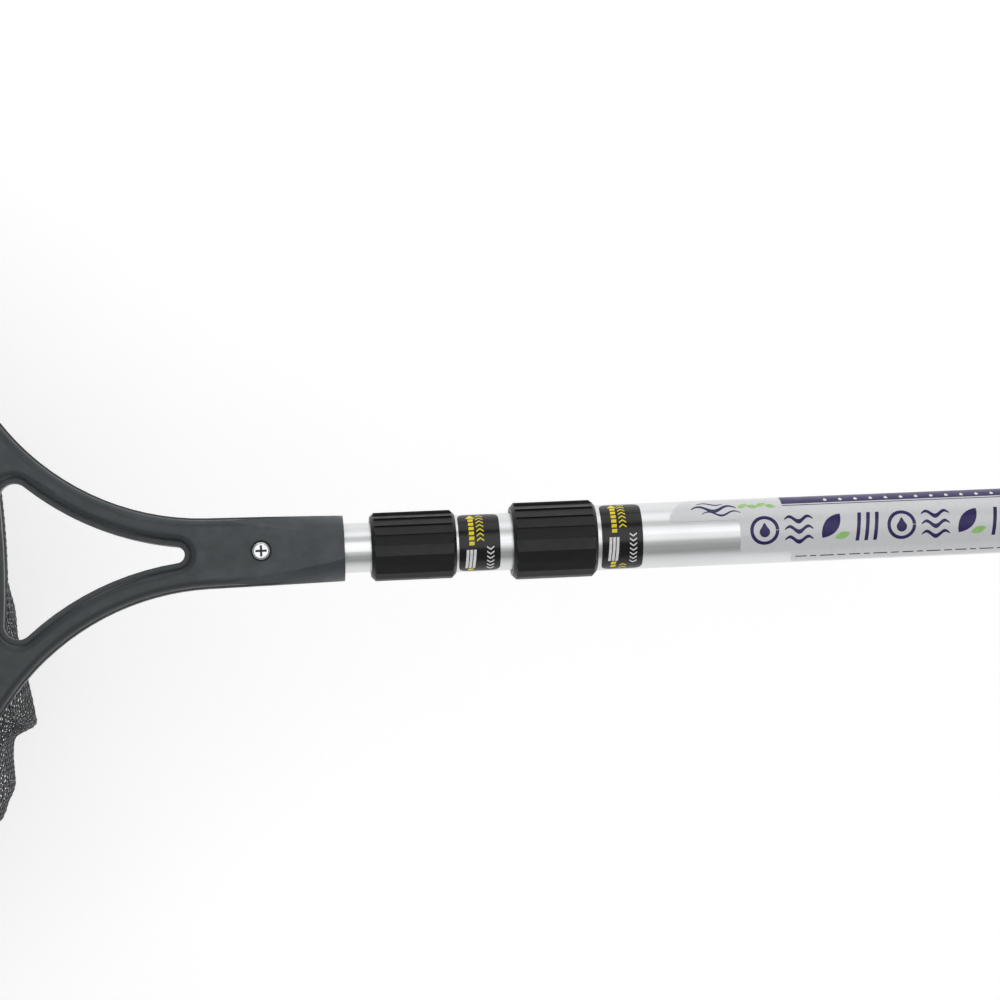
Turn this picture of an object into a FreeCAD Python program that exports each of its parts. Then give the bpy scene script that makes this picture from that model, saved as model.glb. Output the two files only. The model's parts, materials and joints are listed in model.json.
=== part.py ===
import FreeCAD, Part

import math
import os

import Sketcher

# Leaf skimmer net on a three-section telescopic handle, in millimetres.
# World frame: origin on the handle's axis at the middle of the hand grip, +X towards the
# grip's free end, +Z up out of the face of the head, so the net bag hangs towards -Z.
# The head's pieces are drawn in a frame of their own: origin at the socket's mouth,
# x towards the tip of the hoop, and turned half round about Z into place.

V = FreeCAD.Vector
doc = FreeCAD.newDocument("leaf_skimmer_net")

DIMENSIONS = [
    # handle tubes
    ("outer_tube_r", 16.0, "outer tube, outside radius"),
    ("middle_tube_r", 14.0, "middle tube, outside radius"),
    ("inner_tube_r", 12.0, "inner tube, outside radius"),
    ("tube_wall", 1.2, "wall of all three tubes"),
    ("outer_tube_x", -627.0, "front end of the outer tube"),
    ("outer_tube_len", 700.0, "length of the outer tube"),
    ("middle_tube_x", -695.7, "front end of the middle tube, slid in"),
    ("middle_tube_len", 715.0, "length of the middle tube"),
    ("inner_tube_x", -769.5, "front end of the inner tube, slid in"),
    ("inner_tube_len", 740.0, "length of the inner tube"),
    ("mouth_x", -712.0, "mouth of the head's socket, slid in"),
    # twist-lock sleeves
    ("sleeve_len", 41.0, "length of a ribbed sleeve"),
    ("rear_sleeve_r", 18.7, "rear sleeve over its ribs"),
    ("front_sleeve_r", 16.6, "front sleeve over its ribs"),
    ("rear_sleeve_x", -630.5, "front end of the rear sleeve"),
    ("front_sleeve_x", -699.0, "front end of the front sleeve"),
    ("sleeve_lip", 1.8, "thickness of the sleeve's front lip"),
    ("lip_gap", 0.3, "radial room between the lip and the tube in it"),
    ("rib_count", 20, "ribs round a sleeve"),
    ("rib_step", 0.75, "height of the step between two ribs"),
    ("sleeve_chamfer", 2.0, "chamfer at the sleeve's ends"),
    # glide rings
    ("ring_flange", 1.4, "thickness of a glide ring's flange"),
    ("ring_len", 20.0, "length of a glide ring behind its flange"),
    ("glide_gap", 0.05, "radial running clearance of the sliding fits"),
    ("flange_gap", 0.3, "radial room round a glide ring's flange"),
    # twist-lock cams
    ("eccentricity", 0.6, "offset of the cam journal from the tube's axis"),
    ("cam_room", 0.92, "radial room round a cam ring when loose"),
    ("plug_len", 22.0, "length of a cam plug inside its tube"),
    ("plug_flange", 3.0, "thickness of a cam plug's flange"),
    ("plug_flange_room", 0.3, "radial room round a cam plug's flange"),
    ("journal_len", 14.6, "length of a cam journal"),
    ("rear_journal_r", 7.0, "radius of the rear cam journal"),
    ("front_journal_r", 5.8, "radius of the front cam journal"),
    ("cam_ring_len", 14.2, "length of a cam ring"),
    ("cam_slot", 1.6, "width of the slot that lets a cam ring spread"),
    ("washer_len", 1.5, "thickness of a cam washer"),
    ("washer_lap", 2.4, "how far a cam washer stands past its journal"),
    ("cam_screw_r", 2.5, "thread radius of a cam screw"),
    ("cam_screw_len", 12.0, "thread length of a cam screw"),
    ("cam_head_r", 4.4, "head radius of a cam screw"),
    ("cam_head_len", 3.0, "head height of a cam screw"),
    ("cam_recess_len", 6.0, "length of the cross recess in a cam screw"),
    ("cam_recess_width", 1.0, "width of the cross recess in a cam screw"),
    ("cam_ring_gap", 0.2, "gap between a cam ring and its plug's flange"),
    ("pin_r", 1.5, "radius of the cross pins"),
    ("pin_setback", 11.0, "cross pin from the end of its tube"),
    ("drill_gap", 0.03, "radial room round pins and screws"),
    # hand grip and end cap
    ("grip_len", 136.0, "length of the hand grip"),
    ("grip_r", 19.5, "radius of the hand grip"),
    ("grip_groove", 1.0, "depth of the hand grip's ring grooves"),
    ("grip_grooves", 15, "ring grooves in the hand grip"),
    ("grip_slope", 0.8, "length of the slope at each side of a ring groove"),
    ("grip_back_round", 2.0, "chamfer length at the grip's back end"),
    ("grip_front_taper", 3.5, "taper length at the grip's front end"),
    ("grip_end_drop", 1.2, "height of the grip's end faces over or under its curves"),
    ("cap_plug_len", 24.0, "end cap inside the tube"),
    ("cap_r", 18.4, "radius of the end cap"),
    ("cap_len", 5.0, "thickness of the end cap"),
    ("tab_len", 25.0, "length of the hanging tab"),
    ("tab_width", 22.0, "width of the hanging tab"),
    ("tab_thick", 9.0, "thickness of the hanging tab"),
    ("tab_round", 9.0, "corner round of the hanging tab"),
    ("tab_lap", 2.0, "how far the tab reaches into the cap"),
    ("cap_chamfer", 1.5, "chamfer of the end cap and of its plug"),
    ("pin_sink", 0.15, "how far a cross pin's ends lie below the tube's surface"),
    ("hang_hole_r", 4.0, "radius of the hang hole"),
    ("hang_hole_x", 14.0, "hang hole from the cap's outer face"),
    # printed film
    ("film_gap", 0.03, "adhesive under a sticker"),
    ("film", 0.12, "thickness of the printed film"),
    ("sticker_len", 20.0, "width of a lock sticker along the tube"),
    ("sticker_turn", 150.0, "degrees of the tube that a lock sticker covers"),
    ("front_sticker_x", -656.9, "front edge of the front lock sticker"),
    ("rear_sticker_x", -587.6, "front edge of the rear lock sticker"),
    ("label_x", -554.0, "front edge of the tube label"),
    ("label_len", 380.0, "length of the tube label"),
    ("label_turn", 160.0, "degrees of the tube that the label covers"),
    ("label_middle", -5.0, "degrees from +Z towards -Y of the label's middle line"),
    # head: plan
    ("neck_mouth_r", 15.9, "half width of the neck at the mouth"),
    ("neck_root", 65.5, "where the arms start to part"),
    ("neck_root_r", 16.9, "half width of the neck where the arms start"),
    ("arm_curve_r", 121.0, "radius of an arm's outer edge"),
    ("arm_width", 13.9, "width of an arm"),
    ("shoulder_turn", 54.5, "degrees between a shoulder and the handle"),
    ("throat_apex_r", 4.0, "round at the throat window's apex"),
    ("throat_corner_r", 7.0, "round at the throat window's corners"),
    ("bridge_x", 162.0, "handle side of the bridge, on the axis"),
    ("bridge_curve_r", 380.0, "radius of the bridge's handle side"),
    ("bridge_width", 13.2, "width of the bridge"),
    ("band_width", 13.0, "width of the hoop's band"),
    ("hoop_half_width", 180.0, "half width of the hoop"),
    ("shoulder_r", 85.0, "radius from a shoulder to the hoop's side"),
    ("tip_corner_r", 62.0, "radius of the hoop's far corners"),
    ("tip_x", 463.0, "far edge of the hoop, on the axis"),
    ("tip_curve_r", 1000.0, "radius of the hoop's far edge"),
    ("mouth_corner_r", 15.0, "round at the net mouth's near corners"),
    # head: section
    ("face_z", 15.0, "face of the head above the axis"),
    ("crown_z", 9.0, "step between the crown and the rear part"),
    ("plate_z", -8.0, "underside of the plate beside the neck"),
    ("hoop_z", 1.0, "underside of the hoop and bridge"),
    ("crown_inset", 0.9, "crown set back from the outer edges"),
    ("throat_ledge", 2.6, "crown set back from the throat window"),
    ("crown_fillet", 4.0, "round of the crown's edges"),
    ("underside_start", 84.0, "where the arms' underside starts to rise"),
    ("underside_end", 150.0, "where it reaches the hoop's underside"),
    ("socket_depth", 58.0, "depth of the socket"),
    ("socket_gap", 0.05, "radial fit of the tube in the socket"),
    ("barrel_r", 15.9, "radius of the barrel round the socket"),
    ("barrel_nose", 13.0, "rounded end of the barrel past the socket"),
    ("neck_cone_len", 60.0, "length over which the neck's corners blend into the barrel"),
    ("neck_cone_rise", 4.8, "how much that cone widens over its length"),
    ("screw_hole_depth", 4.5, "depth of the head screw's clearance hole below the face"),
    # head: fasteners
    ("screw_x", 40.0, "head screw from the mouth"),
    ("screw_r", 2.4, "shank radius of the head screw"),
    ("screw_len", 16.0, "shank length of the head screw"),
    ("screw_head_r", 4.5, "head radius of the head screw"),
    ("screw_head_len", 2.8, "head height of the head screw"),
    ("counterbore_r", 5.15, "counterbore of the head screw"),
    ("counterbore_depth", 2.0, "depth of that counterbore"),
    ("recess_len", 5.4, "length of the cross recess"),
    ("recess_width", 1.1, "width of the cross recess"),
    ("recess_depth", 1.6, "depth of the cross recess"),
    ("core_x", 24.0, "near end of the tube's core plug, from the mouth"),
    ("core_len", 32.0, "length of the core plug"),
    ("clamp_screw_r", 1.4, "shank radius of a clamp screw"),
    ("clamp_screw_len", 9.0, "shank length of a clamp screw above the strip"),
    ("clamp_head_r", 3.0, "head radius of a clamp screw"),
    ("clamp_head_len", 1.7, "head height of a clamp screw"),
    # net
    ("hem_thick", 1.0, "thickness of the hem"),
    ("strip_thick", 2.1, "thickness of the clamp strip"),
    ("layer_gap", 0.1, "gap between the hoop, the hem and the strip"),
    ("hem_inner", 1.0, "hem's inner edge from the net mouth"),
    ("hem_outer", 12.2, "hem's outer edge from the net mouth"),
    ("strip_inner", 1.6, "strip's inner edge from the net mouth"),
    ("strip_outer", 10.8, "strip's outer edge from the net mouth"),
    ("bag_edge", 12.6, "bag's top edge from the net mouth"),
    ("bag_wall", 1.2, "thickness that stands for the netting"),
    ("bag_depth", 270.0, "depth of the bag below the hoop"),
    ("bag_centre_x", 318.0, "axis that the bag narrows towards"),
]

sheet = doc.addObject("Spreadsheet::Sheet", "dims")
dims = {}
for row, (alias, value, meaning) in enumerate(DIMENSIONS, start=1):
    sheet.set(f"A{row}", meaning)
    sheet.set(f"B{row}", str(value))
    sheet.setAlias(f"B{row}", alias)
    dims[alias] = value
doc.recompute()

nodes = []


# ---- helpers: bound numbers, bodies, sketches and features ----

def at(alias, plus=0.0):
    """A number that stays bound to the sheet: its value and its expression."""
    return dims[alias] + plus, f"dims.{alias} + ({plus})"


def both(first, second, sign=1):
    """The sum or difference of two bound numbers."""
    left, right = (bound[1] or bound[0] for bound in (first, second))
    return first[0] + sign * second[0], f"({left}) {'+' if sign > 0 else '-'} ({right})"


def number(value):
    return float(value), None


ZERO = number(0)


def bind(obj, prop, bound):
    value, expression = bound
    if expression:
        obj.setExpression(prop, expression)
    else:
        setattr(obj, prop, value)


def new_body(name, x=None, half_turn=False):
    """A body for one piece, moved along the handle and, on the head, turned round."""
    body = doc.addObject("PartDesign::Body", name)
    body.Label = name
    turn = 180 if half_turn else 0
    body.Placement = FreeCAD.Placement(V(0, 0, 0), FreeCAD.Rotation(V(0, 0, 1), turn))
    if x:
        body.setExpression(".Placement.Base.x", x[1])
    nodes.append(body)
    return body


def sketch_on(body, role, offset=None):
    sketch = body.newObject("Sketcher::SketchObject", f"{body.Name}_sketch")
    plane = [item for item in body.Origin.OriginFeatures if item.Role == role][0]
    sketch.AttachmentSupport = [(plane, "")]
    sketch.MapMode = "FlatFace"
    if offset:
        bind(sketch, ".AttachmentOffset.Base.z" if offset[1] else "AttachmentOffset", offset)
    return sketch


def add_polygon(sketch, points):
    """A closed polygon whose corners are held by distances bound to the sheet."""
    first = sketch.GeometryCount
    count = len(points)
    for index, (x, y) in enumerate(points):
        next_x, next_y = points[(index + 1) % count]
        sketch.addGeometry(Part.LineSegment(V(x[0], y[0], 0), V(next_x[0], next_y[0], 0)), False)
    for index, corner in enumerate(points):
        after = first + (index + 1) % count
        sketch.addConstraint(Sketcher.Constraint("Coincident", first + index, 2, after, 1))
        for kind, bound in zip(("DistanceX", "DistanceY"), corner):
            held = Sketcher.Constraint(kind, -1, 1, first + index, 1, bound[0])
            slot = sketch.addConstraint(held)
            if bound[1]:
                sketch.setExpression(f"Constraints[{slot}]", bound[1])


def add_circle(sketch, centre, radius):
    """A circle held by its radius and its centre."""
    middle = V(centre[0][0], centre[1][0], 0)
    index = sketch.addGeometry(Part.Circle(middle, V(0, 0, 1), radius[0]), False)
    held = [Sketcher.Constraint("Radius", index, radius[0])]
    for kind, bound in zip(("DistanceX", "DistanceY"), centre):
        held.append(Sketcher.Constraint(kind, -1, 1, index, 3, bound[0]))
    for constraint, bound in zip(held, (radius, *centre)):
        slot = sketch.addConstraint(constraint)
        if bound[1]:
            sketch.setExpression(f"Constraints[{slot}]", bound[1])


def pad(body, sketch, length, both_sides=False):
    feature = body.newObject("PartDesign::Pad", f"{body.Name}_pad")
    feature.Profile = sketch
    feature.SideType = "Symmetric" if both_sides else "One side"
    bind(feature, "Length", length)
    doc.recompute()
    return feature


def cut(body, sketch, length=None, reverse=False, both_sides=False):
    """A pocket, through everything unless it has a length; it has to remove something."""
    before = body.Shape.Volume
    feature = body.newObject("PartDesign::Pocket", f"{body.Name}_cut")
    feature.Profile = sketch
    if both_sides:
        feature.SideType = "Two sides"
        feature.Type2 = "ThroughAll"
    if length:
        bind(feature, "Length", length)
    else:
        feature.Type = "ThroughAll"
    feature.Reversed = reverse
    doc.recompute()
    if not body.Shape.Volume < before - 1e-6:
        raise RuntimeError(f"a cut in {body.Label} removes nothing")
    return feature


def revolve(body, points, feature_type="PartDesign::Revolution", angle=360.0, start=0.0):
    """A piece turned about X from a half section of (x, radius) corners."""
    sketch = sketch_on(body, "XZ_Plane")
    add_polygon(sketch, points)
    feature = body.newObject(feature_type, f"{body.Name}_turned")
    feature.Profile = sketch
    feature.ReferenceAxis = (sketch, ["H_Axis"])
    feature.Angle = angle
    doc.recompute()
    return feature


def ring_points(start, end, inner, outer):
    return [(start, inner), (end, inner), (end, outer), (start, outer)]


def drill(body, x, radius, depth=None, from_z=None, reverse=False):
    """A round hole along Z, at a distance along the piece."""
    sketch = sketch_on(body, "XY_Plane", from_z)
    add_circle(sketch, (x, ZERO), radius)
    cut(body, sketch, depth, reverse, both_sides=depth is None)


def edges_where(shape, test):
    """Names of the edges that pass the test at three points between their ends."""
    names = []
    for index, edge in enumerate(shape.Edges, start=1):
        if all(test(point) for point in edge.discretize(Number=5)[1:4]):
            names.append(f"Edge{index}")
    return names


def fillet(body, radius, test):
    base = body.Tip
    feature = body.newObject("PartDesign::Fillet", f"{body.Name}_round")
    feature.Base = (base, edges_where(base.Shape, test))
    bind(feature, "Radius", radius)
    doc.recompute()
    return feature


# ---- tubes ----

def make_tube(name):
    body = new_body(name, at(f"{name}_x"))
    radius = at(f"{name}_r")
    bore = both(radius, at("tube_wall"), -1)
    revolve(body, ring_points(ZERO, at(f"{name}_len"), bore, radius))
    return body


def tube_end(name, back):
    """A distance along a tube, measured forwards from its back end."""
    return both(at(f"{name}_len"), back, -1)


outer_tube = make_tube("outer_tube")
drill(outer_tube, tube_end("outer_tube", at("pin_setback")), at("pin_r", dims["drill_gap"]))

middle_tube = make_tube("middle_tube")
drill(middle_tube, tube_end("middle_tube", at("pin_setback")), at("pin_r", dims["drill_gap"]))

inner_tube = make_tube("inner_tube")
drill(inner_tube, tube_end("inner_tube", at("pin_setback")), at("pin_r", dims["drill_gap"]))


def screw_station():
    """Where the head screw crosses the inner tube, from the tube's front end."""
    mouth = both(at("mouth_x"), at("inner_tube_x"), -1)
    return both(mouth, at("screw_x"), -1)


drill(inner_tube, screw_station(), at("screw_r", dims["drill_gap"]), reverse=False)


# ---- ribbed sleeves ----

def ribbed_outline(sketch, radius):
    """Ribs like saw teeth: each facet rises round the sleeve and drops at a step."""
    count = int(dims["rib_count"])
    corners = []
    for rib in range(count):
        for turn, reach in ((rib, radius - dims["rib_step"]), (rib + 1, radius)):
            angle = 2 * math.pi * turn / count
            corners.append(V(reach * math.cos(angle), reach * math.sin(angle), 0))
    for index, corner in enumerate(corners):
        following = corners[(index + 1) % len(corners)]
        sketch.addGeometry(Part.LineSegment(corner, following), False)


def make_sleeve(name, inside_tube, outside_tube):
    """A sleeve fixed on the outer of two tubes, with a lip that the inner one clears."""
    body = new_body(name, at(f"{name}_x"))
    radius = at(f"{name}_r")
    sketch = sketch_on(body, "YZ_Plane")
    ribbed_outline(sketch, radius[0])
    pad(body, sketch, at("sleeve_len"))
    lip_bore = sketch_on(body, "YZ_Plane")
    add_circle(lip_bore, (ZERO, ZERO), both(at(f"{inside_tube}_r"), at("lip_gap")))
    cut(body, lip_bore, None, reverse=True)
    tube_bore = sketch_on(body, "YZ_Plane", at("sleeve_lip"))
    add_circle(tube_bore, (ZERO, ZERO), at(f"{outside_tube}_r", dims["drill_gap"]))
    cut(body, tube_bore, at("sleeve_len"), reverse=True)
    chamfer = at("sleeve_chamfer")
    below = both(radius, chamfer, -1)
    beyond = both(radius, chamfer)
    end = at("sleeve_len")
    for corner, inward in ((ZERO, chamfer), (end, both(end, chamfer, -1))):
        before = body.Shape.Volume
        revolve(body, [(corner, below), (inward, radius), (inward, beyond), (corner, beyond)],
                "PartDesign::Groove")
        if not body.Shape.Volume < before:
            raise RuntimeError(f"the chamfer of {name} removes nothing")
    return body


make_sleeve("front_sleeve", "inner_tube", "middle_tube")
make_sleeve("rear_sleeve", "middle_tube", "outer_tube")


# ---- glide rings ----

def make_glide_ring(name, inside_tube, outside_tube):
    """A flanged bush in the front end of a tube; the next tube slides through it."""
    behind_flange = at(f"{outside_tube}_x")
    body = new_body(name, both(behind_flange, at("ring_flange"), -1))
    bore = at(f"{inside_tube}_r", dims["glide_gap"])
    body_r = at(f"{outside_tube}_r", -dims["tube_wall"] - dims["glide_gap"])
    flange_r = at(f"{outside_tube}_r", -dims["flange_gap"])
    flange = at("ring_flange", -dims["glide_gap"])
    end = both(at("ring_flange"), at("ring_len"))
    revolve(body, [(ZERO, bore), (end, bore), (end, body_r), (flange, body_r),
                   (flange, flange_r), (ZERO, flange_r)])
    return body


make_glide_ring("front_glide_ring", "inner_tube", "middle_tube")
make_glide_ring("rear_glide_ring", "middle_tube", "outer_tube")


# ---- eccentric cam locks ----

def make_cam_lock(end, own_tube, next_tube):
    """Plug, split ring, washer, screw and cross pin at the back end of a tube."""
    back = both(at(f"{own_tube}_x"), at(f"{own_tube}_len"))
    offset = at("eccentricity")
    journal_r = at(f"{end}_journal_r")
    next_bore = both(at(f"{next_tube}_r"), at("tube_wall"), -1)

    plug = new_body(f"{end}_cam_plug", both(back, at("plug_len"), -1))
    shank_r = at(f"{own_tube}_r", -dims["tube_wall"] - dims["drill_gap"])
    flange_end = both(at("plug_len"), at("plug_flange"))
    flange_r = both(next_bore, at("plug_flange_room"), -1)
    revolve(plug, [(ZERO, ZERO), (flange_end, ZERO), (flange_end, flange_r),
                   (at("plug_len"), flange_r), (at("plug_len"), shank_r), (ZERO, shank_r)])
    journal = sketch_on(plug, "YZ_Plane", flange_end)
    add_circle(journal, (ZERO, offset), journal_r)
    pad(plug, journal, at("journal_len"))
    thread = sketch_on(plug, "YZ_Plane", both(flange_end, at("journal_len")))
    add_circle(thread, (ZERO, offset), at("cam_screw_r", dims["drill_gap"]))
    cut(plug, thread, at("cam_screw_len", -dims["washer_len"] + 1))
    drill(plug, both(at("plug_len"), at("pin_setback"), -1), at("pin_r", dims["drill_gap"]))

    ring = new_body(f"{end}_cam_ring", both(both(back, at("plug_flange")), at("cam_ring_gap")))
    ring_r = both(next_bore, at("cam_room"), -1)
    outline = sketch_on(ring, "YZ_Plane")
    add_circle(outline, (ZERO, ZERO), ring_r)
    add_circle(outline, (ZERO, offset), both(journal_r, at("glide_gap")))
    pad(ring, outline, at("cam_ring_len"))
    slot = sketch_on(ring, "YZ_Plane")
    half = dims["cam_slot"] / 2
    slot_side = number(half)
    add_polygon(slot, [(number(-half), ZERO), (slot_side, ZERO),
                       (slot_side, number(-2 * dims["outer_tube_r"])),
                       (number(-half), number(-2 * dims["outer_tube_r"]))])
    cut(ring, slot, None, reverse=True)

    face = both(both(back, at("plug_flange")), at("journal_len"))
    washer = new_body(f"{end}_cam_washer", face)
    disc = sketch_on(washer, "YZ_Plane")
    add_circle(disc, (ZERO, offset), both(journal_r, at("washer_lap")))
    add_circle(disc, (ZERO, offset), at("cam_screw_r", dims["drill_gap"]))
    pad(washer, disc, at("washer_len"))

    screw = new_body(f"{end}_cam_screw", both(face, at("cam_screw_len", -dims["washer_len"]), -1))
    shank = sketch_on(screw, "YZ_Plane")
    add_circle(shank, (ZERO, offset), at("cam_screw_r"))
    pad(screw, shank, at("cam_screw_len"))
    head = sketch_on(screw, "YZ_Plane", at("cam_screw_len"))
    add_circle(head, (ZERO, offset), at("cam_head_r"))
    pad(screw, head, at("cam_head_len"))
    long, short = dims["cam_recess_len"], dims["cam_recess_width"]
    for length, width in ((long, short), (short, long)):
        recess = sketch_on(screw, "YZ_Plane", both(at("cam_screw_len"), at("cam_head_len")))
        low, high = number(-length / 2), number(length / 2)
        bottom = at("eccentricity", -width / 2)
        top = at("eccentricity", width / 2)
        add_polygon(recess, [(low, bottom), (high, bottom), (high, top), (low, top)])
        cut(screw, recess, at("recess_depth"))

    make_cross_pin(f"{end}_plug_pin", both(back, at("pin_setback"), -1), at(f"{own_tube}_r", -dims["pin_sink"]))


def make_cross_pin(name, x, reach):
    """A pin along Z through a tube and the plug in it, flush with the tube."""
    pin = new_body(name, x)
    sketch = sketch_on(pin, "XY_Plane")
    add_circle(sketch, (ZERO, ZERO), at("pin_r"))
    pad(pin, sketch, both(reach, reach), both_sides=True)


make_cam_lock("front", "inner_tube", "middle_tube")
make_cam_lock("rear", "middle_tube", "outer_tube")


# ---- hand grip and end cap ----

GROOVE_SHARE = 0.3  # of the grooves' pitch


def make_hand_grip():
    """A rubber sleeve with evenly spaced ring grooves and a rounded front end."""
    half = dims["grip_len"] / 2
    body = new_body("hand_grip", number(0))
    bore = at("outer_tube_r", dims["drill_gap"])
    outer = at("grip_r")
    groove = both(outer, at("grip_groove"), -1)
    count = int(dims["grip_grooves"])
    pitch = dims["grip_len"] / (count + 2)
    groove_len = pitch * GROOVE_SHARE
    slope = dims["grip_slope"]
    drop = dims["grip_end_drop"]
    corners = [(number(-half), bore), (number(half), bore), (number(half), at("grip_r", -drop)),
               (number(half - dims["grip_back_round"]), outer)]
    for index in range(count):
        right = half - pitch * (index + 1)
        left = right - groove_len - slope
        corners += [(number(right), outer), (number(right - slope), groove),
                    (number(left + slope), groove), (number(left), outer)]
    corners += [(number(-half + dims["grip_front_taper"]), outer),
                (number(-half), at("outer_tube_r", drop))]
    revolve(body, corners)


def make_end_cap():
    """A plug in the tube's back end, a round cap and a tab with the hang hole."""
    back = both(at("outer_tube_x"), at("outer_tube_len"))
    body = new_body("end_cap", both(back, at("cap_plug_len"), -1))
    plug_r = at("outer_tube_r", -dims["tube_wall"] - dims["drill_gap"])
    plug_end = at("cap_plug_len")
    cap_end = both(plug_end, at("cap_len"))
    chamfer = at("cap_chamfer")
    revolve(body, [(ZERO, ZERO), (cap_end, ZERO), (cap_end, both(at("cap_r"), chamfer, -1)),
                   (both(cap_end, chamfer, -1), at("cap_r")), (plug_end, at("cap_r")),
                   (plug_end, plug_r), (chamfer, plug_r), (ZERO, both(plug_r, chamfer, -1))])
    tab = sketch_on(body, "XY_Plane")
    half = dims["tab_width"] / 2
    round_r = dims["tab_round"]
    start = cap_end[0] - dims["tab_lap"]
    end = cap_end[0] + dims["tab_len"]
    straight = end - round_r
    rise = half - round_r
    path = [
        Part.LineSegment(V(start, -half, 0), V(straight, -half, 0)),
        arc((straight, -rise), round_r, -90, 0),
        Part.LineSegment(V(end, -rise, 0), V(end, rise, 0)),
        arc((straight, rise), round_r, 0, 90),
        Part.LineSegment(V(straight, half, 0), V(start, half, 0)),
        Part.LineSegment(V(start, half, 0), V(start, -half, 0)),
    ]
    for piece in path:
        tab.addGeometry(piece, False)
    pad(body, tab, at("tab_thick"), both_sides=True)
    drill(body, both(cap_end, at("hang_hole_x")), at("hang_hole_r"))
    drill(body, both(plug_end, at("pin_setback"), -1), at("pin_r", dims["drill_gap"]))
    make_cross_pin("end_cap_pin", both(back, at("pin_setback"), -1), at("outer_tube_r", -dims["pin_sink"]))


# ---- printed film ----

def make_film(name, tube, x, length, turn_alias, middle_deg):
    """A thin film wrapped part of the way round a tube; its middle lies middle_deg past +Z."""
    body = new_body(name, x)
    inner = at(f"{tube}_r", dims["film_gap"])
    outer = at(f"{tube}_r", dims["film_gap"] + dims["film"])
    feature = revolve(body, ring_points(ZERO, length, inner, outer))
    bind(feature, "Angle", at(turn_alias))
    turn = FreeCAD.Rotation(V(1, 0, 0), middle_deg - dims[turn_alias] / 2)
    body.Placement = FreeCAD.Placement(V(x[0], 0, 0), turn)
    doc.recompute()


# ---- plan of the head ----

def arc(centre, radius, start_deg, end_deg):
    circle = Part.Circle(V(centre[0], centre[1], 0), V(0, 0, 1), radius)
    return Part.ArcOfCircle(circle, math.radians(start_deg), math.radians(end_deg))


def heading(degrees):
    return V(math.cos(math.radians(degrees)), math.sin(math.radians(degrees)), 0)


def bearing(start, end):
    return math.degrees(math.atan2(end.y - start.y, end.x - start.x))


def circles_meet(centre_a, radius_a, centre_b, radius_b):
    """The point at given distances from two centres that is nearer to the axis."""
    across = centre_b - centre_a
    gap = across.Length
    along = (gap ** 2 + radius_a ** 2 - radius_b ** 2) / (2 * gap)
    aside = math.sqrt(radius_a ** 2 - along ** 2)
    unit = across * (1 / gap)
    left = V(-unit.y, unit.x, 0)
    points = [centre_a + unit * along + left * aside, centre_a + unit * along - left * aside]
    return min(points, key=lambda point: abs(point.y))


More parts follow.
